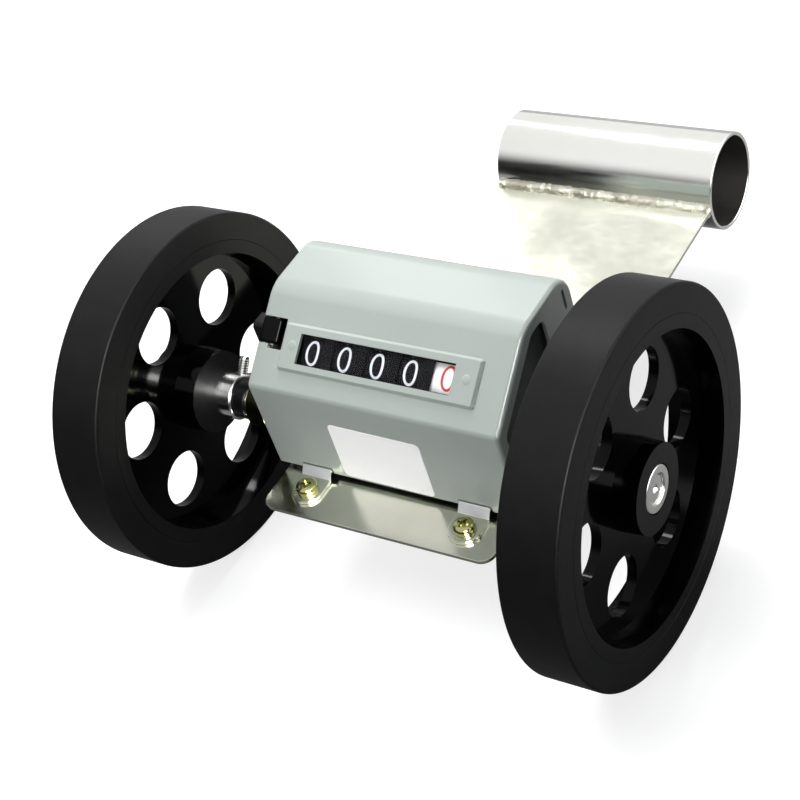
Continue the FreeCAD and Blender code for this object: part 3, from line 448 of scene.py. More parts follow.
class Nodes:
    """A node tree, with short ways to add to it."""

    def __init__(self, tree: Tree) -> None:
        """Takes a tree and empties it."""
        self.tree = tree
        tree.nodes.clear()

    def add(self, kind: str, feeds: Feeds | None = None, **settings: object) -> Outputs:
        """Adds a node, sets its properties and feeds its inputs.

        Args:
            kind: The node's type.
            feeds: A value or a socket for each input, by name or number.
            **settings: Its properties.

        Returns:
            Its outputs.
        """
        node = self.tree.nodes.new(f"ShaderNode{kind}")
        for key, value in settings.items():
            setattr(node, key, value)
        for key, value in (feeds or {}).items():
            socket = node.inputs[key]
            if isinstance(value, Socket):
                self.tree.links.new(value, socket)
            else:
                socket.default_value = (*value, 1.0) if socket.type == "RGBA" else value
        return node.outputs

    def mix(self, share: Socket, low: Feed, high: Feed) -> Socket:
        """Mixes two colours: low where a mask is 0, high where it is 1."""
        return self.add("Mix", {0: share, 6: low, 7: high}, data_type="RGBA")[2]

    def reckon(self, operation: str, *feeds: Feed, clamp: bool = False) -> Socket:
        """Works out one number from others, fed in order."""
        return self.add("Math", dict(enumerate(feeds)), operation=operation, use_clamp=clamp)[0]

    def ramp(self, value: Socket, span: Point = WHOLE, to: Point = WHOLE, soft: bool = False) -> Socket:
        """Maps a number from one span to another.

        Args:
            value: The number.
            span: Where it starts and stops to count.
            to: What it becomes at those two.
            soft: Whether it eases in and out.

        Returns:
            The mapped number.
        """
        ends = zip(("From Min", "From Max", "To Min", "To Max"), (*span, *to))
        easing = "SMOOTHSTEP" if soft else "LINEAR"
        return self.add("MapRange", {"Value": value, **dict(ends)}, interpolation_type=easing)["Result"]


class Effect(Nodes):
    """A shared effect: a node group that turns a place and other inputs into masks."""

    def __init__(self, name: str, vectors: list[str], numbers: list[str], masks: list[str]) -> None:
        """Starts the group with its sockets.

        Args:
            name: The group's name.
            vectors: Its vector inputs.
            numbers: Its number inputs.
            masks: Its outputs.
        """
        super().__init__(bpy.data.node_groups.new(name, "ShaderNodeTree"))
        for kind, labels in (("NodeSocketVector", vectors), ("NodeSocketFloat", numbers)):
            for label in labels:
                self.tree.interface.new_socket(label, in_out="INPUT", socket_type=kind)
        for label in masks:
            self.tree.interface.new_socket(label, in_out="OUTPUT", socket_type="NodeSocketFloat")
        self.entry = self.tree.nodes.new("NodeGroupInput").outputs
        self.leave = self.tree.nodes.new("NodeGroupOutput").inputs

    def give(self, mask: str, source: Socket) -> None:
        """Gives a mask out."""
        self.tree.links.new(source, self.leave[mask])


@cache
def grain_effect() -> Tree:
    """A mask of speckle at two sizes, from a place and a size of grain.

    Returns:
        The node group, made once.
    """
    coarser = 0.07
    effect = Effect("Grain", ["Place"], ["Scale", "Detail"], ["Grain", "Cloud"])
    fine = effect.entry["Scale"]
    for mask, scale in (("Grain", fine), ("Cloud", effect.reckon("MULTIPLY", fine, coarser))):
        feeds = {"Vector": effect.entry["Place"], "Scale": scale, "Detail": effect.entry["Detail"]}
        effect.give(mask, effect.add("TexNoise", feeds)["Fac"])
    return effect.tree


@cache
def edge_wear_effect() -> Tree:
    """A mask of the worn edges: where a rounded normal leaves the true one, broken up.

    Returns:
        The node group, made once.
    """
    effect = Effect("EdgeWear", ["Place"], ["Width", "Gain"], ["Wear"])
    rounded = effect.add("Bevel", {"Radius": effect.entry["Width"]}, samples=4)["Normal"]
    true = effect.add("NewGeometry")["Normal"]
    agree = effect.add("VectorMath", {0: rounded, 1: true}, operation="DOT_PRODUCT")["Value"]
    strong = effect.reckon("MULTIPLY", effect.reckon("SUBTRACT", 1.0, agree), effect.entry["Gain"])
    noise = effect.add("TexNoise", {"Vector": effect.entry["Place"], "Scale": 900.0, "Detail": 4.0})["Fac"]
    effect.give("Wear", effect.reckon("MULTIPLY", strong, noise, clamp=True))
    return effect.tree


@cache
def drawn_marks_effect() -> Tree:
    """A height and mask of fine lines drawn out along one axis, such as turning marks.

    Returns:
        The node group, made once.
    """
    effect = Effect("DrawnMarks", ["Place", "Stretch"], [], ["Marks"])
    stretched = effect.add("Mapping", {"Vector": effect.entry["Place"], "Scale": effect.entry["Stretch"]})
    feeds = {"Vector": stretched["Vector"], "Scale": 1.0, "Detail": 4.0}
    effect.give("Marks", effect.add("TexNoise", feeds)["Fac"])
    return effect.tree


class Surface(Nodes):
    """A material in the making, with its fine grain and its coarser cloud."""

    def __init__(self, name: str, scale: float, detail: float) -> None:
        """Starts a material with a grain.

        Args:
            name: The material's name.
            scale: How fine the grain is.
            detail: How much detail it has.
        """
        self.material = bpy.data.materials.new(name)
        self.material.use_nodes = True
        super().__init__(self.material.node_tree)
        self.place = self.add("TexCoord")["Object"]
        grain = self.effect(grain_effect(), Scale=scale, Detail=detail)
        self.grain, self.cloud = grain["Grain"], grain["Cloud"]

    def effect(self, tree: Tree, **feeds: Feed) -> Outputs:
        """Adds a shared effect at the surface's own place, its other inputs fed by name."""
        return self.add("Group", {"Place": self.place, **feeds}, node_tree=tree)

    def bump(self, height: Socket, depth: float) -> Socket:
        """A normal raised by a height, at most depth millimetres."""
        return self.add("Bump", {"Strength": 1.0, "Distance": depth * MM, "Height": height})["Normal"]

    def finish(self, **feeds: Feed) -> Material:
        """Ends the tree in one shader.

        Args:
            **feeds: A value or a socket for each of its inputs, by name, with _ for a space.

        Returns:
            The material.
        """
        surface = self.add("BsdfPrincipled", {key.replace("_", " "): value for key, value in feeds.items()})
        self.add("OutputMaterial", {"Surface": surface["BSDF"]})
        return self.material


@dataclass(frozen=True)
class PaintFinish:
    """Sprayed and baked enamel with a faint orange peel and worn edges."""

    name: str = "GreyEnamel"
    colour: Triple = (0.318, 0.353, 0.329)
    shade: Triple = (0.296, 0.331, 0.309)
    edge: Triple = (0.47, 0.51, 0.49)
    roughness: Point = (0.32, 0.42)
    peel: float = 0.02

    def make(self) -> Material:
        """Builds the material.

        Returns:
            The material.
        """
        surface = Surface(self.name, scale=900.0, detail=3.0)
        wear = surface.effect(edge_wear_effect(), Width=0.0005, Gain=1.5)["Wear"]
        body = surface.mix(surface.cloud, self.shade, self.colour)
        return surface.finish(
            Base_Color=surface.mix(wear, body, self.edge),
            Roughness=surface.ramp(surface.cloud, to=self.roughness),
            Normal=surface.bump(surface.grain, self.peel),
            IOR=1.5,
            Specular_IOR_Level=0.36,
            Coat_Weight=0.4,
            Coat_Roughness=0.12,
        )


@dataclass(frozen=True)
class MetalFinish:
    """Bare or plated metal with clouds and drawn marks."""

    name: str
    colour: Triple
    cloud: Triple
    roughness: Point
    scale: float
    stretch: Triple = (300.0, 300.0, 300.0)
    depth: float = 0.004
    metallic: float = 1.0
    contrast: Point = (-0.6, 1.6)

    def make(self) -> Material:
        """Builds the material.

        Returns:
            The material.
        """
        surface = Surface(self.name, self.scale, detail=4.0)
        marks = surface.effect(drawn_marks_effect(), Stretch=self.stretch)["Marks"]
        tint = surface.ramp(surface.cloud, to=self.contrast)
        least, most = self.roughness
        blend = surface.reckon("MULTIPLY", surface.cloud, marks)
        return surface.finish(
            Base_Color=surface.mix(tint, self.cloud, self.colour),
            Roughness=surface.ramp(blend, to=(least, 2 * most)),
            Normal=surface.bump(marks, self.depth),
            Metallic=self.metallic,
        )


@dataclass(frozen=True)
class RubberFinish:
    """Dull moulded rubber with a fine grain and a little dust."""

    name: str = "TyreRubber"
    colour: Triple = (0.0022, 0.0022, 0.0024)
    dust: Triple = (0.006, 0.006, 0.0062)
    roughness: Point = (0.36, 0.58)
    specular: float = 0.16
    depth: float = 0.03

    def make(self) -> Material:
        """Builds the material.

        Returns:
            The material.
        """
        surface = Surface(self.name, scale=2600.0, detail=4.0)
        return surface.finish(
            Base_Color=surface.mix(surface.cloud, self.colour, self.dust),
            Roughness=surface.ramp(surface.grain, to=self.roughness),
            Normal=surface.bump(surface.grain, self.depth),
            Specular_IOR_Level=self.specular,
        )


@dataclass(frozen=True)
class PlasticFinish:
    """Smooth moulded plastic, print or paper, with faint waves and specks."""

    name: str
    colour: Triple
    cloud: Triple
    roughness: Point
    scale: float
    depth: float = 0.006
    specular: float = 0.5

    def make(self) -> Material:
        """Builds the material.

        Returns:
            The material.
        """
        surface = Surface(self.name, self.scale, detail=3.0)
        return surface.finish(
            Base_Color=surface.mix(surface.cloud, self.cloud, self.colour),
            Roughness=surface.ramp(surface.cloud, to=self.roughness),
            Normal=surface.bump(surface.grain, self.depth),
            Specular_IOR_Level=self.specular,
        )


@dataclass(frozen=True)
class ClearFinish:
    """Clear plastic with a trace of smudges."""

    name: str = "ClearWindow"
    smudge: Triple = (0.95, 0.96, 0.96)
    roughness: Point = (0.0, 0.08)

    def make(self) -> Material:
        """Builds the material.

        Returns:
            The material.
        """
        surface = Surface(self.name, scale=600.0, detail=3.0)
        return surface.finish(
            Base_Color=surface.mix(surface.cloud, self.smudge, WHITE),
            Roughness=surface.ramp(surface.cloud, to=self.roughness),
            IOR=1.12,
            Transmission_Weight=1.0,
            Specular_IOR_Level=0.3,
        )


class Finish(Enum):
    """Every finish of the counter: colour, cloud, roughness, grain and what else it needs."""

    ENAMEL = PaintFinish()
    RUBBER = RubberFinish()
    CLEAR = ClearFinish()
    ZINC = MetalFinish(
        "ZincSheet", (0.76, 0.765, 0.67), (0.62, 0.62, 0.53), (0.11, 0.2), 500.0, (260.0, 420.0, 300.0), 0.002
    )
    # Dark zinc that is painted shade: the chassis side plates' outer faces and the drum shaft get it so the
    # notch and the end openings read dark.
    SHADED = MetalFinish(
        "ShadedZinc", (0.1, 0.105, 0.105), (0.04, 0.042, 0.042), (0.4, 0.6), 500.0, metallic=0.6
    )
    DULL = MetalFinish("DullZinc", (0.66, 0.67, 0.68), (0.46, 0.47, 0.48), (0.22, 0.36), 900.0, metallic=0.5)
    TUBE = MetalFinish(
        "PlatedTube", (0.92, 0.92, 0.89), (0.8, 0.8, 0.76), (0.05, 0.22), 260.0, (60.0, 900.0, 900.0), 0.0015
    )
    BORE = MetalFinish("DullBore", (0.05, 0.045, 0.04), (0.02, 0.018, 0.016), (0.4, 0.6), 300.0, metallic=0.4)
    BEAD = MetalFinish(
        "WeldBead", (0.78, 0.77, 0.68), (0.42, 0.4, 0.33), (0.3, 0.55), 1500.0, (1600.0, 1600.0, 1600.0), 0.3
    )
    STEEL = MetalFinish(
        "TurnedSteel",
        (0.92, 0.92, 0.9),
        (0.76, 0.76, 0.74),
        (0.1, 0.26),
        700.0,
        (6000.0, 120.0, 120.0),
        0.015,
    )
    YELLOW = MetalFinish("YellowZinc", (0.52, 0.49, 0.22), (0.3, 0.33, 0.16), (0.1, 0.22), 900.0)
    BRASS = MetalFinish("Brass", (0.7, 0.52, 0.25), (0.5, 0.36, 0.16), (0.18, 0.34), 900.0)
    GLOSS = PlasticFinish(
        "BlackGloss", (0.0016, 0.0016, 0.0018), (0.0008, 0.0008, 0.0009), (0.05, 0.14), 300.0, 0.01, 0.09
    )
    BLACK = PlasticFinish(
        "BlackPlastic", (0.007, 0.007, 0.008), (0.004, 0.004, 0.005), (0.22, 0.4), 900.0, specular=0.3
    )
    DRUM = PlasticFinish(
        "DrumBlack", (0.005, 0.005, 0.007), (0.003, 0.003, 0.004), (0.45, 0.6), 900.0, 0.004, 0.06
    )
    WHITE = PlasticFinish("WhitePlastic", (0.8, 0.79, 0.78), (0.72, 0.71, 0.7), (0.35, 0.5), 900.0)
    FIGURE = PlasticFinish("WhiteFigure", (0.78, 0.8, 0.84), (0.62, 0.64, 0.7), (0.4, 0.6), 1500.0)
    RED = PlasticFinish("RedFigure", (0.55, 0.02, 0.02), (0.42, 0.015, 0.015), (0.4, 0.6), 1500.0)
    PAPER = PlasticFinish(
        "LabelPaper", (0.96, 0.955, 0.96), (0.92, 0.915, 0.925), (0.35, 0.55), 2200.0, 0.004
    )

    @cache
    def material(self) -> Material:
        """The finish's material, made the first time that it is asked for."""
        return self.value.make()


def dress(piece: Piece, *finishes: Finish) -> None:
    """Puts materials in a piece's slots.

    Args:
        piece: The piece to dress.
        *finishes: The finish of each slot, in order.
    """
    piece.data.materials.clear()
    for finish in finishes:
        piece.data.materials.append(finish.material())


def paint_faces(piece: Piece, index: int, test: Test) -> None:
    """Gives the faces that pass a test the material of one slot.

    Args:
        piece: The piece, with its materials in place.
        index: The slot.
        test: Says whether a face is wanted, by its centre and normal.
    """
    open_up(piece)
    if choose_faces(test):
        piece.active_material_index = index
        bpy.ops.object.material_slot_assign()
    lay_down()


def smooth(piece: Piece, angle: float) -> None:
    """Shades a piece smooth, with its large faces flat and its sharp edges sharp.

    Args:
        piece: The piece to shade.
        angle: The angle from which an edge stays sharp.
    """
    take_up(piece)
    bpy.ops.object.shade_smooth_by_angle(angle=math.radians(angle))
    modify(piece, "WEIGHTED_NORMAL", keep_sharp=True, weight=100)


def seat(
    piece: Piece, finish: Finish | None, body: str, slot: str, *nodes: str, angle: float = SMOOTH_ANGLE
) -> None:
    """Dresses and smooths a piece, hangs it on its body and reports it.

    Args:
        piece: The piece, with its shape done.
        finish: Its finish, or None if it is dressed already.
        body: The body that it rides on.
        slot: The slot that its finish belongs to; not used.
        *nodes: The frame's nodes that it stands for.
        angle: The angle from which an edge stays sharp, or 0 to leave every face flat.
    """
    if finish is not None:
        dress(piece, finish)
    if angle:
        smooth(piece, angle)
    lay_down()
    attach(piece, body)
    if nodes:
        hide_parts(*nodes)
    log.info("%s on %s: %d faces", piece.name, body, len(piece.data.polygons))


# ------------------------------------------------------------------ the wheels and their axle


@dataclass(frozen=True)
class Axle:
    """The line that the wheels turn on."""

    y: float = -142.0
    z: float = 17.0

    def place(self, along: float = 0.0, turned: float = 0.0) -> Matrix:
        """Where a piece modelled about the X axis goes, moved along the axle and turned about it."""
        return shift(along, self.y, self.z) @ turn(turned, "x")


@dataclass
class Wheels:
    """Two measuring wheels: a glossy moulded core and a rubber tyre on each."""

    axle: Axle = Axle()
    radius: float = 53.05
    width: float = 16.5
    centre: float = 70.7
    rim: float = 45.0
    rim_lip: float = 41.2
    rim_root: float = 39.9
    web: float = 2.9
    hub: float = 12.2
    hub_root: float = 12.6
    bore: float = 6.8
    hole: float = 8.4
    hole_circle: float = 27.35
    hole_count: int = 6
    core_edge: float = 0.4
    tread_round: float = 0.7
    seam: float = 0.12
    turns: Point = (43.65, 54.5)

    def core(self) -> Piece:
        """Models one core about the X axis.

        Returns:
            The core, its first hole towards +Y.
        """
        half, web = self.width / 2, self.web / 2
        near = [(-half, self.bore), (-half, self.hub), (-web, self.hub_root)]
        near += [(-web, self.rim_root), (-half, self.rim_lip), (-half, self.rim)]
        core = lathe("core_model", mirrored(near), steps=128)
        tools = []
        for index in range(self.hole_count):
            angle = 2 * math.pi * index / self.hole_count
            spot = (0.0, self.hole_circle * math.cos(angle), self.hole_circle * math.sin(angle))
            tools.append(rod("hole_tool", spot, self.hole, self.width, Axis.X, sides=64))
        cut(core, join("hole_tools", tools))
        bevel(core, self.core_edge, segments=3, angle=28.0)
        return core

    def tyre(self) -> Piece:
        """Models one tyre about the X axis.

        Returns:
            The tyre, with a parting line round its inner edge.
        """
        half, edge = self.width / 2, self.tread_round
        low = [(-half + self.seam, self.rim), (-half, self.rim + self.seam), (-half, self.radius - edge)]
        low += arc((-half + edge, self.radius - edge), edge, 180.0, 90.0, steps=6)[1:]
        return lathe("tyre_model", mirrored(low), steps=192)

    def build(self) -> None:
        """Models a core and a tyre and puts a copy of each on both sides."""
        core, tyre = self.core(), self.tyre()
        dress(core, Finish.GLOSS, Finish.RUBBER)
        dress(tyre, Finish.RUBBER)
        paint_faces(core, 1, lambda at, normal: same(abs(at.x), self.width / 2, 0.05))
        for side, turned in zip(Side, self.turns):
            place = self.axle.place(side.value * self.centre, turned)
            for model, word, slot in ((core, "wheel_core", "black_gloss"), (tyre, "tyre", "rubber")):
                piece = copy_of(model, f"dressed_{word}_{side.word}", place)
                seat(piece, None, "wheel_axle", slot, f"{word}_{side.word}", angle=30.0)
        clear_away(core, tyre)


@dataclass
class AxleParts:
    """Shaft, sleeves, setscrews, collars, washers and bushes."""

    axle: Axle = Axle()
    outer: float = 78.95
    sleeve_end: float = 53.4
    sleeve: float = 6.8
    shaft: float = 4.0
    shaft_edge: float = 0.35
    journal: float = 2.5
    running_gap: float = 0.05
    recess: float = 0.7
    drill: float = 1.2
    chamfer: float = 0.5
    collar: float = 6.0
    collar_end: float = 48.95
    washer: float = 6.2
    washer_end: float = 48.25
    washer_edge: float = 0.15
    bush: float = 7.0
    bush_neck: float = 4.5
    bush_start: float = 41.1
    bush_end: float = 48.0
    bush_inside: float = 36.5
    screw_at: float = 55.5
    screw: float = 1.7
    screw_top: float = 11.7
    screw_turn: float = 45.0
    screw_edge: float = 0.12
    socket: float = 1.5
    socket_depth: float = 1.8
    thread_pitch: float = 0.7
    thread_depth: float = 0.25

    def sleeve_model(self) -> Piece:
        """Models the right sleeve about the X axis.

        Returns:
            The sleeve, with the setscrew's hole towards +Z.
        """
        c, outer = self.chamfer, self.outer
        profile = ring_profile(self.sleeve_end, outer, self.shaft, self.sleeve, c)[:-1]
        profile += [(outer, self.shaft + c), (outer - c, self.shaft)]
        sleeve = lathe("sleeve_model", profile, steps=96)
        spot = (self.screw_at, 0.0, self.sleeve)
        cut(sleeve, rod("screw_hole", spot, self.screw, self.sleeve, Axis.Z, sides=32))
        bevel(sleeve, self.screw_edge, segments=2, angle=25.0)
        return sleeve

    def setscrew_model(self) -> Piece:
        """Models a setscrew along +Z.

        Returns:
            The setscrew, with its thread and its hexagon socket.
        """
        root, height, top = self.screw - self.thread_depth, self.shaft, self.screw_top
        profile = [(height, 0.0), (height, root)]
        while height + self.thread_pitch < top - 0.3:
            profile += [(height + self.thread_pitch / 2, self.screw), (height + self.thread_pitch, root)]
            height += self.thread_pitch
        profile += [(top - 0.2, root), (top, root - 0.3), (top, 0.0)]
        screw = lathe("setscrew_model", profile, Axis.Z, steps=32, closed=False)
        corner = self.socket / math.sqrt(3)
        cut(screw, rod("socket_tool", (0.0, 0.0, top), corner, 2 * self.socket_depth, Axis.Z, sides=6))
        return screw

    def rings(self) -> dict[str, tuple[list[Point], Finish, str, str]]:
        """The turned rings of one end.

        Returns:
            Profile, finish, body and slot of each, by name.
        """
        c, inner = self.chamfer, self.journal + self.running_gap
        neck = self.bush_neck
        bush = [(self.bush_inside, inner), (self.bush_inside, neck), (self.bush_start, neck)]
        bush += ring_profile(self.bush_start, self.bush_end, inner, self.bush, c)[1:]
        collar = ring_profile(self.collar_end, self.sleeve_end, self.shaft, self.collar, c)
        return {
            "axle_collar": (collar, Finish.BLACK, "wheel_axle", "black_plastic"),
            "axle_bush": (bush, Finish.YELLOW, "frame", "yellow_zinc"),
        }

    def build(self) -> None:
        """Models every turned piece of the axle."""
        sleeve, screw = self.sleeve_model(), self.setscrew_model()
        for side in Side:
            flip = mirror_x() if side is Side.LEFT else Matrix.Identity(4)
            place = self.axle.place(turned=self.screw_turn - 90.0) @ flip
            screw_place = place @ shift(self.screw_at)
            models = (("wheel_sleeve", sleeve, place), ("sleeve_setscrew", screw, screw_place))
            for word, model, spot in models:
                piece = copy_of(model, f"dressed_{word}_{side.word}", spot)
                seat(piece, Finish.STEEL, "wheel_axle", "steel", f"{word}_{side.word}")
            for word, (profile, *where) in self.rings().items():
                points = [(side.value * x, radius) for x, radius in profile]
                ring = move_to(lathe(f"dressed_{word}_{side.word}", points, steps=72), self.axle.place())
                seat(ring, *where, f"{word}_{side.word}")
        clear_away(sleeve, screw)
        self.washers()
        self.shaft_rod()

    def washers(self) -> None:
        """Models the two thin washers between collars and bushes."""
        profile = ring_profile(self.washer_end, self.collar_end, self.journal, self.washer, self.washer_edge)
        pair = [lathe("washer", [(side.value * x, radius) for x, radius in profile]) for side in Side]
        piece = move_to(join("dressed_axle_washers", pair), self.axle.place())
        seat(piece, Finish.ZINC, "wheel_axle", "steel", "axle_washers")

    def shaft_rod(self) -> None:
        """Models the shaft, stepped down inside the housing and centre-drilled at its ends."""
        end, c, thick = self.recess - self.outer, self.shaft_edge, self.shaft
        near = [(end + 2 * self.drill, 0.0), (end, self.drill), (end, thick - c), (end + c, thick)]
        near += [(-self.collar_end, thick), (-self.collar_end, self.journal)]
        piece = move_to(lathe("dressed_wheel_shaft", mirrored(near), closed=False), self.axle.place())
        seat(piece, Finish.STEEL, "wheel_axle", "steel", "wheel_shaft")


# ------------------------------------------------------------------ the housing


@dataclass(frozen=True)
class WindowFace:
    """The housing's sloping face, as a place for what is fixed on it or lies under it."""

    front: float = -150.4
    crease: float = 32.9
    slope: float = 36.64
    middle: float = -0.9
    drums_at: Point = (12.5, 13.75)
    drum_centres: tuple[float, ...] = (-22.3, -11.6, -0.9, 9.8, 20.5)

    def place(self) -> Matrix:
        """Takes a piece modelled flat, with y up the face, to the face."""
        return shift(0.0, self.front, self.crease) @ turn(self.slope, "x")

    def drum_axis(self) -> Point:
        """The drums' axis, some way up the face and some way under it.

        Returns:
            Its Y and Z.
        """
        up, depth = self.drums_at
        angle = math.radians(self.slope)
        y = self.front + up * math.cos(angle) + depth * math.sin(angle)
        return y, self.crease + up * math.sin(angle) - depth * math.cos(angle)

    def cut_off(self, y: float, z: float) -> None:
        """Cuts off what the open piece has above a plane that is parallel to the face.

        Args:
            y: Where the plane passes, along Y.
            z: Where it passes, along Z.
        """
        angle = math.radians(self.slope)
        bpy.ops.mesh.bisect(
            plane_co=Vector((0.0, y, z)) * MM,
            plane_no=(0.0, -math.sin(angle), math.cos(angle)),
            use_fill=True,
            clear_outer=True,
        )


@dataclass
class Housing:
    """The folded and painted cover, open below, with its openings."""

    face: WindowFace = WindowFace()
    half_width: float = 40.8
    back: float = -102.4
    bottom: float = 2.6
    top: float = 50.6
    sheet: float = 1.0
    edge: float = 0.18
    crease_round: float = 2.0
    upper_round: float = 10.0
    back_round: float = 8.0
    end_round: float = 1.5
    end_lip: float = 4.0
    front_lip: float = 3.4
    opening_back: float = -118.0
    opening_round: float = 3.0
    slit: tuple[float, float, float, float] = (-107.5, -106.3, 39.8, 46.5)
    slit_round: float = 0.45
    notch: tuple[float, float, float, float, float] = (32.1, 36.8, 12.7, 20.5, 1.2)
    window: Triple = (25.8, 7.7, 17.9)
    window_round: float = 0.35
    ear_slot: Triple = (26.2, 5.25, 4.5)
    past: float = 2.0
    face_span: Point = (-3.0, 2.0)

    def shell(self) -> Piece:
        """Folds the cover: a block, its front corner cut off, its folds rounded.

        Returns:
            The cover, open below, of sheet thickness, before its openings.
        """
        front, crease, slope = self.face.front, self.face.crease, math.radians(self.face.slope)
        half = self.half_width
        piece = block("dressed_housing_cover", (-half, front, self.bottom), (half, self.back, self.top))
        self.face.cut_off(front, crease)
        brow = front + (self.top - crease) / math.tan(slope)
        folds = (
            (front, crease, self.crease_round * math.tan((math.pi / 2 - slope) / 2), 5),
            (brow, self.top, self.upper_round * math.tan(slope / 2), 6),
            (self.back, self.top, self.back_round, 8),
        )
        for y, z, width, segments in folds:
            round_edges(runs_along("x", y=y, z=z), width, segments)
        below = lies_at("z", self.bottom)
        round_edges(
            lambda a, b: same(abs(a.x), half) and same(a.x, b.x) and not below(a, b),
            self.end_round,
            segments=4,
        )
        choose_faces(lambda at, normal: normal.z < -FACING and same(at.z, self.bottom))
        bpy.ops.mesh.delete(type="FACE")
        close_up(piece)
        modify(piece, "SOLIDIFY", thickness=self.sheet * MM, offset=-1.0, use_even_offset=True)
        return piece

    def end_tool(self) -> Piece:
        """Models the tool that opens both ends.

        Returns:
            The tool, inside a lip that follows the outline.
        """
        front = self.face.front + self.front_lip
        slope = math.radians(self.face.slope)
        top = self.top - self.end_lip
        shoulder = self.face.crease - self.end_lip / math.cos(slope) + self.front_lip * math.tan(slope)
        brow = front + (top - shoulder) / math.tan(slope)
        reach = self.half_width + self.past
        piece = block("end_tool", (-reach, front, self.bottom - self.past), (reach, self.opening_back, top))
        self.face.cut_off(front, shoulder)
        square = math.pi / 2
        folds = ((front, shoulder, square - slope), (brow, top, slope), (self.opening_back, top, square))
        for y, z, fold in folds:
            round_edges(runs_along("x", y=y, z=z), self.opening_round * math.tan(fold / 2), segments=5)
        return close_up(piece)

    def face_tools(self) -> list[Piece]:
        """Models the tools that open the sloping face.

        Returns:
            The window's tool and the two of the stepped notch.
        """
        half, low, high = self.window
        inner, step_at, start, end, step = self.notch
        middle, reach = self.face.middle, self.half_width + 1
        outlines = (
            ((middle - half, low), (middle + half, high)),
            ((-reach, start), (-inner, end)),
            ((-step_at, start - step), (-inner, start + 1.0)),
        )
        tools = []
        under, over = self.face_span
        for near, far in outlines:
            tool = block("face_tool", (*near, under), (*far, over))
            round_edges(runs_along("z"), self.window_round, segments=3)
            tools.append(move_to(close_up(tool), self.face.place()))
        return tools

    def ear_tools(self) -> list[Piece]:
        """Models the tools for the slots that let the chassis ears out at the lower edges.

        Returns:
            The four tools.
        """
        at, half, top = self.ear_slot
        low, past = self.bottom - 1.0, self.past
        return [
            close_up(block("ear_slot_tool", (x - half, y - past, low), (x + half, y + past, top)))
            for y in (self.face.front, self.back)
            for x in (-at, at)
        ]

    def build(self) -> None:
        """Models the cover, cuts its openings and paints it."""
        piece = self.shell()
        y0, y1, z0, z1 = self.slit
        reach = self.half_width + self.past
        slit = block("slit_tool", (-reach, y0, z0), (reach, y1, z1))
        round_edges(runs_along("x"), self.slit_round, segments=3)
        close_up(slit)
        cut(piece, self.end_tool(), slit, *self.face_tools(), *self.ear_tools())
        close_up(open_up(piece))
        bevel(piece, self.edge, segments=2, angle=40.0)
        seat(piece, Finish.ENAMEL, "frame", "grey_paint", "housing_cover", angle=40.0)


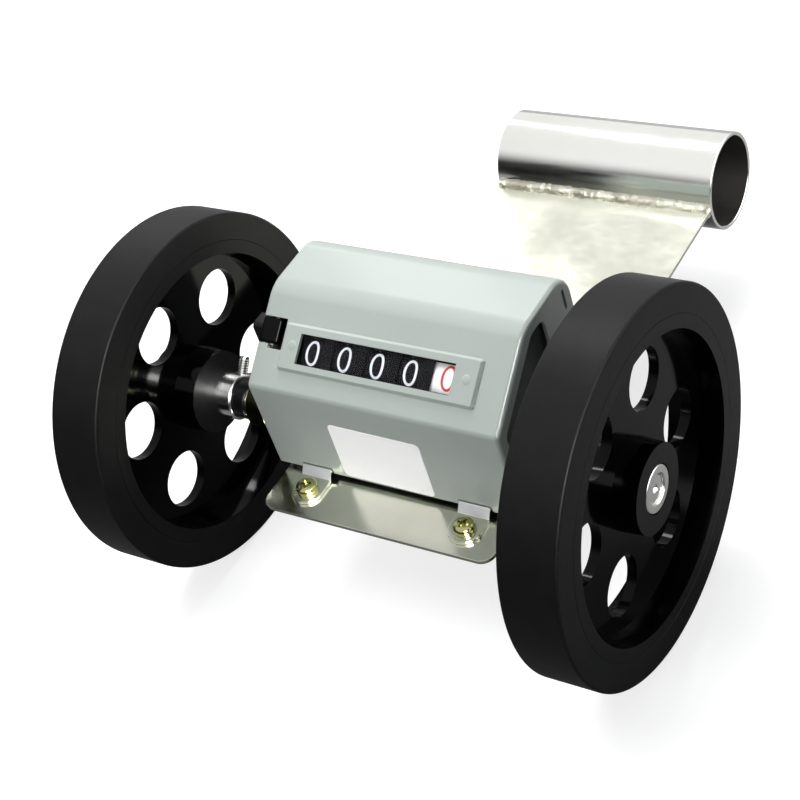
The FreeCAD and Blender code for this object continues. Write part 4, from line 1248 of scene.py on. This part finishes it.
@dataclass
class WindowFittings:
    """Bezel, rivets, lens and mask over the number drums."""

    face: WindowFace = WindowFace()
    half_width: float = 31.8
    start: float = 6.1
    end: float = 19.7
    thickness: float = 1.0
    rim: float = 0.75
    corner: float = 0.9
    view: Triple = (25.0, 8.5, 17.1)
    view_round: float = 0.25
    edge: float = 0.2
    lens_border: float = 0.6
    lens_thickness: float = 0.8
    lens_round: float = 0.12
    rivet: Point = (28.1, 13.4)
    rivet_head: float = 1.4
    rivet_height: float = 0.24
    rivet_shank: float = 0.9
    rivet_angles: tuple[float, ...] = (12.0, 35.0, 58.0, 78.0)
    mask_depth: Point = (0.85, 1.1)
    mask_round: float = 0.3
    mask_opening: float = 3.65
    mask_lips: Point = (0.3, 0.4)

    def pane(self, name: str, border: float, low: float, high: float) -> Piece:
        """Adds a block over the view, with a border all round.

        Args:
            name: The piece's name.
            border: How far it reaches past the view.
            low: Its lower side, from the face up.
            high: Its upper side.

        Returns:
            The block, open in edit mode.
        """
        half, start, end = self.view
        reach, middle = half + border, self.face.middle
        return block(name, (middle - reach, start - border, low), (middle + reach, end + border, high))

    def mask(self) -> None:
        """Models the thin black mask under the lens, with an opening over each drum."""
        _, start, end = self.view
        top, under = self.mask_depth
        low, high = start + self.mask_lips[0], end - self.mask_lips[1]
        half = self.mask_opening
        piece = self.pane("window_mask", self.lens_border, -under, -top)
        round_edges(runs_along("z"), self.mask_round, segments=3)
        close_up(piece)
        for centre in self.face.drum_centres:
            tool = block("mask_tool", (centre - half, low, -3.0), (centre + half, high, 1.0))
            round_edges(runs_along("z"), self.view_round, segments=3)
            cut(piece, close_up(tool))
        seat(move_to(piece, self.face.place()), Finish.DRUM, "frame", "black_plastic")

    def bezel(self) -> None:
        """Models the bezel: a plate with a broad sloping rim and a crisp window."""
        half, high = self.half_width, self.thickness
        piece = block("dressed_window_bezel", (-half, self.start, 0.0), (half, self.end, high))
        round_edges(runs_along("z"), self.corner, segments=5)
        round_edges(lies_at("z", high), self.rim, segments=1)
        close_up(piece)
        view = self.pane("view_tool", 0.0, -1.0, high + 1)
        round_edges(runs_along("z"), self.view_round, segments=3)
        cut(piece, close_up(view))
        modify(piece, "TRIANGULATE")
        bevel(piece, self.edge, segments=2, angle=30.0)
        move_to(piece, self.face.place())
        seat(piece, Finish.ENAMEL, "frame", "grey_paint", "window_bezel", angle=25.0)

    def rivets(self) -> None:
        """Models the two painted rivets with their low domed heads."""
        base, head, rise, shank = self.thickness, self.rivet_head, self.rivet_height, self.rivet_shank
        angles = [math.radians(angle) for angle in self.rivet_angles]
        profile = [(-1.0, 0.0), (-1.0, shank), (base, shank), (base, head)]
        profile += [(base + rise * math.sin(angle), head * math.cos(angle)) for angle in angles]
        first = lathe("rivet", [*profile, (base + rise, 0.0)], Axis.Z, steps=32, closed=False)
        move_to(first, shift(*self.rivet))
        second = copy_of(first, "rivet_two", mirror_x())
        piece = move_to(join("dressed_bezel_rivets", [first, second]), self.face.place())
        seat(piece, Finish.ENAMEL, "frame", "grey_paint", "bezel_rivets")

    def lens(self) -> None:
        """Models the clear pane behind the bezel."""
        piece = self.pane("dressed_window_lens", self.lens_border, -self.lens_thickness, 0.0)
        round_edges(lambda a, b: True, self.lens_round, segments=2)
        close_up(piece)
        seat(move_to(piece, self.face.place()), Finish.CLEAR, "frame", "clear_plastic", "window_lens")

    def build(self) -> None:
        """Models everything on the window face."""
        self.bezel()
        self.rivets()
        self.lens()
        self.mask()


@dataclass
class Label:
    """The blank paper label on the front face."""

    front: float = WindowFace.front
    width: float = 30.0
    height: float = 20.3
    bottom: float = 3.2
    centre: float = -1.45
    thickness: float = 0.15
    corner: float = 1.5
    edge: float = 0.05
    turned: float = 0.7

    def build(self) -> None:
        """Models the label: a thin card with rounded corners, a little crooked."""
        half_x, half_z = self.width / 2, self.height / 2
        piece = block("dressed_label", (-half_x, -self.thickness, -half_z), (half_x, 0.0, half_z))
        round_edges(runs_along("y"), self.corner, segments=6)
        round_edges(lies_at("y", -self.thickness, 0.01), self.edge, segments=2)
        close_up(piece)
        move_to(piece, shift(self.centre, self.front, self.bottom + half_z) @ turn(self.turned, "y"))
        seat(piece, Finish.PAPER, "frame", "white_label", "label")


@dataclass
class ResetLever:
    """The black lever on the end of the drum shaft, and the guide in the notch under it."""

    face: WindowFace = WindowFace()
    start: float = 41.3
    end: float = 45.7
    neck_start: float = 38.2
    reach: float = 12.2
    half_width: float = 3.2
    inset: float = 0.3
    wing_round: float = 1.6
    edge: float = 0.45
    hub: float = 5.0
    hub_edge: float = 0.6
    neck: float = 4.0
    bore: float = 3.0
    core: float = 3.5
    core_at: float = 43.0
    core_length: float = 12.0
    insert_low: Triple = (-40.6, 12.95, -1.9)
    insert_high: Triple = (-34.2, 20.25, -0.15)
    insert_rounds: Point = (0.9, 0.7)

    def insert(self) -> None:
        """Models the black guide that fills the cover's notch under the lever."""
        corner, brim = self.insert_rounds
        piece = block("notch_insert", self.insert_low, self.insert_high)
        round_edges(runs_along("z"), corner, segments=5)
        round_edges(lies_at("z", self.insert_high[2]), brim, segments=5)
        close_up(piece)
        seat(move_to(piece, self.face.place()), Finish.GLOSS, "frame", "black_plastic", angle=50.0)

    def build(self) -> None:
        """Models the lever about the drum's axis and puts it in its place."""
        self.insert()
        low = (self.inset - self.end, -self.half_width, 0.0)
        wing = block("lever_wing", low, (-self.start - self.inset, self.half_width, self.reach))
        round_edges(lambda a, b: runs_along("x")(a, b) and a.z > 1, self.wing_round, segments=5)
        close_up(wing)
        c, start, end = self.hub_edge, -self.start, -self.end
        profile = [(end, self.bore), (end, self.hub - c), (end + c, self.hub), (start, self.hub)]
        profile += [(start, self.neck), (-self.neck_start, self.neck), (-self.neck_start, self.bore)]
        hub = lathe("lever_hub", profile)
        cut(wing, rod("lever_core", (-self.core_at, 0.0, 0.0), self.core, self.core_length, Axis.X, sides=48))
        bevel(wing, self.edge, segments=3, angle=30.0)
        piece = move_to(join("dressed_reset_lever", [wing, hub]), shift(0.0, *self.face.drum_axis()))
        seat(piece, Finish.BLACK, "reset", "black_plastic", "reset_lever")


# ------------------------------------------------------------------ the drums


@dataclass
class Drums:
    """The number drums' printed bands: nine figures and a nought on each."""

    face: WindowFace = WindowFace()
    radius: float = 12.4
    skin: float = 0.03
    figure_skin: float = 0.06
    band: Point = (-4.0, 3.3)
    band_depth: float = 0.4
    band_edge: float = 0.12
    figure: Point = (4.3, 7.1)
    narrow_one: float = 0.55
    figure_thinning: float = -0.012
    figure_cuts: int = 7
    figure_step: float = 0.5
    figure_count: int = 10
    guide_half: float = 6.0
    reading: float = 126.64
    last_lead: float = 2.5
    last_offset: float = 1.0

    def digit(self, value: int) -> Piece:
        """Models one figure, flat on the origin at its size, cut across so that it can bend.

        Args:
            value: The figure, 0 to 9.

        Returns:
            The figure, laid down.
        """
        lay_down()
        bpy.ops.object.text_add()
        text = bpy.context.object.data
        text.body = str(value)
        text.align_x = text.align_y = "CENTER"
        text.resolution_u = 6
        text.offset = self.figure_thinning
        bpy.ops.object.convert(target="MESH")
        digit = bpy.context.object
        wide, tall = self.figure
        if value == 1:
            wide *= self.narrow_one
        across = [[vertex.co[axis] for vertex in digit.data.vertices] for axis in (0, 1)]
        spans = [(min(places), max(places)) for places in across]
        size = [span / (high - low) * MM for span, (low, high) in zip((wide, tall), spans)]
        centre = Vector([-(low + high) / 2 for low, high in spans] + [0.0])
        move_to(digit, Matrix.Diagonal((*size, 1.0, 1.0)) @ Matrix.Translation(centre))
        open_up(digit)
        for index in range(-self.figure_cuts, self.figure_cuts + 1):
            bpy.ops.mesh.select_all(action="SELECT")
            height = index * self.figure_step * MM
            bpy.ops.mesh.bisect(plane_co=(0.0, height, 0.0), plane_no=(0.0, 1.0, 0.0))
        lay_down()
        return digit

    def figures(self) -> Piece:
        """Models the ten figures round the X axis, each wrapped on the drum.

        Returns:
            The ring of figures, nought at the top, the next ones following towards -Y.
        """
        top = self.radius + self.figure_skin
        wide, apart = self.guide_half, 360.0 / self.figure_count
        guide = lathe("figure_guide", [(-wide, top), (wide, top)], steps=240, closed=False)
        wrap = {"target": guide, "wrap_method": "PROJECT", "use_project_z": True}
        ring = []
        for value in range(self.figure_count):
            digit = move_to(self.digit(value), shift(z=top + 2.0))
            modify(digit, "SHRINKWRAP", use_negative_direction=True, use_positive_direction=True, **wrap)
            ring.append(move_to(digit, turn(apart * value, "x")))
        clear_away(guide)
        return join("figures_model", ring)

    def build(self) -> None:
        """Puts a smooth printed band and a ring of figures on each drum."""
        outer, inner = self.radius + self.skin, self.radius - self.band_depth
        figures = self.figures()
        band = lathe("band_model", ring_profile(*self.band, inner, outer, self.band_edge), steps=160)
        for index, centre in enumerate(self.face.drum_centres, start=1):
            last = index == len(self.face.drum_centres)
            lead, offset = (self.last_lead, self.last_offset) if last else (0.0, 0.0)
            ground, ink = (Finish.WHITE, Finish.RED) if last else (Finish.DRUM, Finish.FIGURE)
            spot = shift(centre, *self.face.drum_axis()) @ turn(self.reading - 90.0 - lead, "x")
            skin = copy_of(band, f"drum_band_{index}", spot)
            seat(skin, ground, f"drum_{index}", "white_plastic" if last else "black_plastic")
            printing = copy_of(figures, f"drum_figures_{index}", spot @ shift(offset))
            seat(printing, ink, f"drum_{index}", "white_plastic", angle=0.0)
        clear_away(figures, band)


# ------------------------------------------------------------------ the arm


@dataclass
class Arm:
    """The arm plate, the rod tube at its rear edge and the weld between them."""

    half_width: float = 37.9
    front: float = -166.0
    thickness: float = 1.2
    corner: float = 4.0
    edge: float = 0.18
    tube_outer: float = 15.5
    tube_inner: float = 14.3
    tube_half: float = 38.0
    tube_edge: float = 0.2
    bead: float = 1.45
    bead_half: float = 37.2
    bead_at: Point = (0.35, 0.75)
    bead_rough: float = 0.3
    bead_cuts: int = 150

    def plate(self) -> None:
        """Models the sheet: rounded front corners and softened edges."""
        half, width = self.thickness / 2, self.half_width
        piece = block("dressed_arm_plate", (-width, self.front, -half), (width, 0.02 - self.tube_outer, half))
        round_edges(runs_along("z", y=self.front), self.corner, segments=8)
        close_up(piece)
        bevel(piece, self.edge, segments=2, angle=40.0)
        seat(piece, Finish.ZINC, "frame", "zinc_sheet", "arm_plate")

    def tube(self) -> None:
        """Models the tube with its cut ends and dull bore."""
        inner, outer, end, c = self.tube_inner, self.tube_outer, -self.tube_half, self.tube_edge
        near = [(end + c, inner), (end, inner + c), (end, outer - c), (end + c, outer)]
        piece = lathe("dressed_rod_tube", mirrored(near), steps=144)
        dress(piece, Finish.TUBE, Finish.BORE)
        paint_faces(piece, 1, lambda at, normal: math.hypot(at.y, at.z) < inner + 0.05)
        seat(piece, None, "frame", "plated_tube", "rod_tube")

    def weld(self) -> None:
        """Models the bead above and below the plate as two rough runs of set metal."""
        behind, above = self.bead_at
        runs = []
        for seed, level in enumerate((1, -1), start=1):
            place = (0.0, -self.tube_outer - behind, level * above)
            run = rod("weld_run", place, self.bead, 2 * self.bead_half, Axis.X, sides=12)
            choose_edges(runs_along("x"))
            bpy.ops.mesh.subdivide(number_cuts=self.bead_cuts)
            bpy.ops.mesh.select_all(action="SELECT")
            bpy.ops.transform.vertex_random(offset=self.bead_rough * MM, uniform=1.0, normal=0.0, seed=seed)
            runs.append(close_up(run))
        seat(join("dressed_weld_bead", runs), Finish.BEAD, "frame", "zinc_sheet", "weld_bead", angle=60.0)

    def build(self) -> None:
        """Models the arm."""
        self.plate()
        self.tube()
        self.weld()


# ------------------------------------------------------------------ the chassis and its screws


@dataclass
class Chassis:
    """The bent chassis with four joggled ears, and the screws that hold it down."""

    face: WindowFace = WindowFace()
    side: float = 37.7
    sheet: float = 1.2
    edge: float = 0.15
    middle: float = -126.4
    half: float = 22.0
    base: float = 3.0
    top: float = 48.6
    margin: float = 2.0
    corner: float = 4.0
    bend: float = 1.1
    ear: float = 9.9
    ear_at: float = 26.2
    ear_root: float = 3.0
    ear_end: float = 35.9
    ear_foot: float = 26.3
    ear_face: float = 24.4
    ear_hole: float = 2.2
    ear_edge: float = 0.2
    plate_top: float = 0.6
    flange: Triple = (27.5, 11.0, 29.0)
    flange_hole: Triple = (32.0, 20.0, 1.5)
    flange_behind: float = 0.8
    flange_round: float = 1.5
    screw_at: float = 30.95
    axle: Triple = (-15.6, 17.0, 4.5)
    pinion: Triple = (-119.43, 21.98, 1.5)
    tie: Triple = (-109.0, 42.5, 2.0)
    drum_bush: float = 4.2
    bore_length: float = 6.0
    head: float = 3.2
    head_height: float = 2.3
    head_curve: tuple[Point, ...] = ((0.12, 0.0), (1.2, 0.0), (1.65, 0.2), (2.0, 0.7), (2.2, 1.4))
    head_edge: float = 0.06
    recess_taper: Triple = (0.35, 0.7, 1.0)
    recess: Triple = (2.2, 0.5, 1.5)
    shank: float = 2.0
    tail: float = -4.6
    screw_turns: tuple[float, ...] = (24.0, -12.0, 50.0, 8.0)

    def ear_model(self) -> Piece:
        """Models the right front ear: a strip drawn out flat, down the joggle and flat again.

        Returns:
            The ear, with its hole.
        """
        half, low, high = self.ear / 2, self.base, self.base + self.sheet
        x0, x1 = self.ear_at - half, self.ear_at + half
        piece = block("ear_model", (x0, -self.half, low), (x1, -self.half + self.ear_root, high))
        drop = self.plate_top - self.base
        steps = (
            (-(self.ear_face - self.half), 0.0),
            (-(self.ear_foot - self.ear_face), drop),
            (-(self.ear_end - self.ear_foot), 0.0),
        )
        choose_faces(lambda at, normal: normal.y < -FACING)
        for run, fall in steps:
            bpy.ops.mesh.extrude_region_move(TRANSFORM_OT_translate={"value": Vector((0.0, run, fall)) * MM})
        round_edges(runs_along("z", y=-self.ear_end), half - 0.05, segments=10)
        close_up(piece)
        spot = (self.ear_at, -self.screw_at, 1.0)
        cut(piece, rod("ear_hole", spot, self.ear_hole, self.bore_length, Axis.Z, sides=32))
        bevel(piece, self.ear_edge, segments=2, angle=35.0)
        return piece

    def side_plate(self) -> Piece:
        """Models the right side plate, its outline parallel to the housing's.

        Returns:
            The side plate, with its bores.
        """
        slope = math.radians(self.face.slope)
        crease = self.face.crease - self.margin / math.cos(slope) + self.margin * math.tan(slope)
        inner = self.side - self.sheet
        piece = block("side_plate", (inner, -self.half, self.base), (self.side, self.half, self.top))
        self.face.cut_off(-self.half, crease)
        round_edges(runs_along("x", y=self.half, z=self.top), self.corner, segments=6)
        round_edges(runs_along("y", x=self.side, z=self.base), self.bend, segments=4)
        close_up(piece)
        bores = [(radius, (self.side, y, z)) for y, z, radius in self.bores()]
        tools = [rod("bore", spot, radius, self.bore_length, Axis.X, sides=40) for radius, spot in bores]
        cut(piece, join("bores", tools))
        bevel(piece, self.edge, segments=2, angle=35.0)
        return piece

    def bores(self) -> list[Triple]:
        """Y, Z and radius of the holes for the axle bush, drum bush, pinion shaft and tie rod."""
        holes = [(*self.face.drum_axis(), self.drum_bush), self.pinion, self.tie]
        return [self.axle, *((y - self.middle, z, radius) for y, z, radius in holes)]

    def flange_model(self) -> Piece:
        """Models the right rear flange.

        Returns:
            The flange, with its tapped hole.
        """
        inner, low, high = self.flange
        x, z, radius = self.flange_hole
        back = self.half + self.flange_behind
        flange = block("flange", (inner, back - self.sheet, low), (self.side, back, high))
        round_edges(runs_along("y", x=inner), self.flange_round, segments=4)
        close_up(flange)
        hole = rod("tapped", (0.0, 0.0, 0.0), radius, self.bore_length, Axis.Z, sides=32)
        cut(flange, move_to(hole, shift(x, back, z) @ turn(90.0, "x")))
        bevel(flange, self.edge, segments=2, angle=35.0)
        return flange

    def build(self) -> None:
        """Joins base, sides, flanges and ears, and adds the screws."""
        width, top = self.side - 0.6, self.base + self.sheet
        base = close_up(block("base", (-width, -self.half, self.base), (width, self.half, top)))
        flange, ear, side = self.flange_model(), self.ear_model(), self.side_plate()
        back_ear = copy_of(ear, "back_ear", turn(180.0, "z") @ mirror_x())
        right = [ear, back_ear, side, flange]
        left = [copy_of(piece, f"{piece.name}_left", mirror_x()) for piece in right]
        piece = move_to(join("dressed_chassis_frame", [base, *right, *left]), shift(y=self.middle))
        dress(piece, Finish.ZINC, Finish.SHADED, Finish.DULL)
        # Slot 1 is painted shade: the side plates' outer faces are darkened so the notch and the right-hand
        # end opening read dark.
        paint_faces(piece, 1, lambda at, normal: same(abs(at.x), self.side, 0.05) and abs(normal.x) > FACING)
        near, far = self.half + 1.0, self.ear_foot + 0.6
        paint_faces(
            piece,
            2,
            lambda at, normal: near < abs(at.y - self.middle) < far and at.z < top and abs(normal.y) > 0.3,
        )
        seat(piece, None, "frame", "zinc_sheet", "chassis_frame")
        self.screws()

    def screws(self) -> None:
        """Models one pan-head screw with a cross recess and sets it on every ear."""
        seat_at, head = self.plate_top + self.sheet, self.head
        top = seat_at + self.head_height
        profile = [(self.tail, 0.0), (self.tail, self.shank), (seat_at, self.shank), (seat_at, head - 0.1)]
        profile += [(seat_at + rise, head - inward) for rise, inward in self.head_curve]
        profile += [(top, head - 2.2), (top, 0.0)]
        model = lathe("screw_model", profile, Axis.Z, steps=48, closed=False)
        cut(model, *self.cross_wings(top))
        bevel(model, self.head_edge, segments=2, angle=35.0)
        turns = iter(self.screw_turns)
        copies = []
        for y in (-self.screw_at, self.screw_at):
            for x in (-self.ear_at, self.ear_at):
                place = shift(x, self.middle + y) @ turn(next(turns), "z")
                copies.append(copy_of(model, "screw", place))
        clear_away(model)
        seat(join("dressed_foot_screws", copies), Finish.YELLOW, "frame", "yellow_zinc", "foot_screws")

    def cross_wings(self, top: float) -> list[Piece]:
        """Models the cutting tools of the driver recess.

        Args:
            top: The level of the head's top.

        Returns:
            The cross's two tapered wings.
        """
        reach, half, depth = self.recess
        wings = []
        for angle in (0.0, 90.0):
            wing = block("wing", (-reach, -half, -depth), (reach, half, 0.6))
            choose_faces(lambda at, normal: normal.z < -FACING)
            bpy.ops.transform.resize(value=self.recess_taper)
            wings.append(move_to(close_up(wing), shift(z=top) @ turn(angle, "z")))
        return wings


# ------------------------------------------------------------------ what the frame already shows


class CarriedOver:
    """Nodes whose own shape is right, each with its finish."""

    finishes = {
        "number_drum_5": Finish.WHITE,
        "number_drum": Finish.BLACK,
        "transfer_pinion": Finish.WHITE,
        "input_gear": Finish.WHITE,
        "axle_pinion": Finish.BRASS,
        "pinion_shaft_clips": Finish.BLACK,
        "pinion_shaft": Finish.STEEL,
        # The drum shaft gets painted shade, so its end in the right-hand end opening reads dark.
        "drum_shaft": Finish.SHADED,
        "drum_spacer": Finish.STEEL,
        "tie_rod": Finish.STEEL,
        "foot_nuts": Finish.YELLOW,
        "cover_screws": Finish.STEEL,
    }

    def build(self) -> None:
        """Gives every node that is still shown its material."""
        for name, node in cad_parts.items():
            finish = next((finish for word, finish in self.finishes.items() if name.startswith(word)), None)
            if finish is not None:
                for slot in node.material_slots:
                    slot.material = finish.material()
                log.info("%s keeps its shape in %s", name, finish.value.name)


# ------------------------------------------------------------------ the studio


@dataclass
class Studio:
    """A white floor, a white room, soft lamps and the camera."""

    floor_level: float = -36.1
    floor_size: float = 8.0
    floor_glow: Point = (0.72, 1.1)
    floor_far: Point = (0.45, 1.1)
    floor_dark: Point = (-0.35, 0.0)
    floor_greys: Triple = (0.03, 0.28, 0.4)
    camera_at: Triple = (251.62, -402.10, 339.92)
    camera_back: Triple = (0.52053, -0.54932, 0.65368)
    camera_right: Triple = (0.83541, 0.48589, -0.25692)
    lens: float = 79.08
    dark_front: Point = (-0.3, 0.05)
    dark_height: Point = (0.26, 0.72)
    dark_level: float = 0.03
    panel_side: Point = (0.45, 0.7)
    panel_height: Point = (0.0, 0.3)
    panel_light: float = 3.0
    flash_spread: Point = (0.955, 0.985)
    flash_light: float = 30.0
    soft_colour: Triple = (0.96, 0.98, 1.0)
    soft_light: float = 0.42

    def floor(self) -> None:
        """Lays a pale floor that shows the object's shadow."""
        lay_down()
        bpy.ops.mesh.primitive_plane_add(size=self.floor_size, location=(0.0, -0.1, self.floor_level * MM))
        floor = bpy.context.object
        floor.name = "studio_floor"
        material = bpy.data.materials.new("StudioFloor")
        material.use_nodes = True
        nodes = Nodes(material.node_tree)
        path = nodes.add("LightPath")
        place = nodes.add("NewGeometry")["Position"]
        dark, pale, plain = [(grey, grey, grey) for grey in self.floor_greys]
        near = nodes.ramp(nodes.add("SeparateXYZ", {0: place})["Y"], self.floor_dark, soft=True)
        seen = nodes.mix(path["Is Glossy Ray"], plain, nodes.mix(near, dark, pale))
        reach = nodes.add("VectorMath", {0: place}, operation="LENGTH")["Value"]
        level = nodes.ramp(reach, self.floor_far, self.floor_glow)
        glow = nodes.reckon("MULTIPLY", path["Is Camera Ray"], level)
        shade = nodes.add("BsdfDiffuse", {"Color": seen})[0]
        light = nodes.add("Emission", {"Color": WHITE, "Strength": glow})[0]
        nodes.add("OutputMaterial", {"Surface": nodes.add("AddShader", {0: shade, 1: light})[0]})
        floor.data.materials.append(material)

    def room(self) -> None:
        """Sets the world: white to look at, darker to the front for gloss, soft for light."""
        world = bpy.data.worlds.new("StudioRoom")
        bpy.context.scene.world = world
        world.use_nodes = True
        nodes = Nodes(world.node_tree)
        path = nodes.add("LightPath")
        way = nodes.add("TexCoord")["Generated"]
        split = nodes.add("SeparateXYZ", {0: way})
        front = nodes.ramp(split["Y"], self.dark_front, soft=True)
        height = nodes.ramp(split["Z"], self.dark_height, soft=True)
        gloss = nodes.ramp(nodes.reckon("MAXIMUM", front, height), to=(self.dark_level, 1.0))
        side = nodes.ramp(split["X"], self.panel_side, soft=True)
        level = nodes.ramp(split["Z"], self.panel_height, soft=True)
        gloss = nodes.reckon("MULTIPLY_ADD", nodes.reckon("MULTIPLY", side, level), self.panel_light, gloss)
        feeds = {0: way, 1: Vector(self.camera_back).normalized()}
        toward = nodes.add("VectorMath", feeds, operation="DOT_PRODUCT")["Value"]
        flash = nodes.ramp(toward, self.flash_spread, (0.0, self.flash_light), soft=True)
        mixed = nodes.add("Background", {"Color": self.soft_colour, "Strength": self.soft_light})[0]
        shine = nodes.add("Background", {"Color": WHITE, "Strength": nodes.reckon("ADD", flash, gloss)})[0]
        plain = nodes.add("Background", {"Color": WHITE, "Strength": 1.0})[0]
        for ray, background in (("Glossy", shine), ("Transmission", plain), ("Camera", plain)):
            mixed = nodes.add("MixShader", {0: path[f"Is {ray} Ray"], 1: mixed, 2: background})[0]
        nodes.add("OutputWorld", {"Surface": mixed})

    def lamp(self, name: str, at: Triple, size: Point, power: float, shows: bool = True) -> None:
        """Hangs a soft rectangular lamp that looks at the counter.

        Args:
            name: The lamp's name.
            at: Its place in metres.
            size: Its width and height in metres.
            power: Its power in watts.
            shows: Whether glossy surfaces mirror it.
        """
        data = bpy.data.lights.new(name, "AREA")
        data.shape = "RECTANGLE"
        data.size, data.size_y = size
        data.energy = power
        lamp = bpy.data.objects.new(name, data)
        bpy.context.scene.collection.objects.link(lamp)
        target = Vector((0.0, -0.1, 0.0))
        lamp.location = at
        lamp.rotation_euler = (target - Vector(at)).to_track_quat("-Z", "Y").to_euler()
        lamp.visible_camera = False
        lamp.visible_glossy = shows

    def camera(self) -> None:
        """Sets the camera where the object is looked at from."""
        back = Vector(self.camera_back).normalized()
        right = Vector(self.camera_right).normalized()
        data = bpy.data.cameras.new("Camera")
        data.lens = self.lens
        data.sensor_width = 36.0
        data.clip_start = 0.01
        camera = bpy.data.objects.new("Camera", data)
        rotation = Matrix((right, back.cross(right), back)).transposed().to_4x4()
        camera.matrix_world = Matrix.Translation(Vector(self.camera_at) * MM) @ rotation
        bpy.context.scene.collection.objects.link(camera)
        bpy.context.scene.camera = camera

    def build(self) -> None:
        """Sets up the studio."""
        bpy.context.scene.view_settings.view_transform = "Standard"
        self.floor()
        self.room()
        self.lamp("top_lamp", (-0.3, -0.25, 1.1), (0.8, 0.6), 9.9, shows=False)
        self.lamp("back_lamp", (-0.3, 0.6, 0.9), (0.8, 0.6), 10.6, shows=False)
        self.lamp("sheen_lamp", (-0.664, 0.661, 0.722), (0.14, 0.4), 0.55)
        self.lamp("cover_lamp", (-0.347, 0.526, 0.996), (0.25, 0.2), 3.6)
        self.lamp("front_lamp", (-0.5, -1.1, 0.5), (0.6, 0.6), 4.8, shows=False)
        self.camera()


def main() -> None:
    """Builds the counter and its studio."""
    logging.basicConfig(level=logging.INFO, format="%(name)s: %(message)s")
    parts = (
        Wheels, AxleParts, Housing, WindowFittings, Label, ResetLever, Drums, Arm, Chassis,
        CarriedOver, Studio,
    )
    for part in parts:
        part().build()


if __name__ == "__main__":
    main()
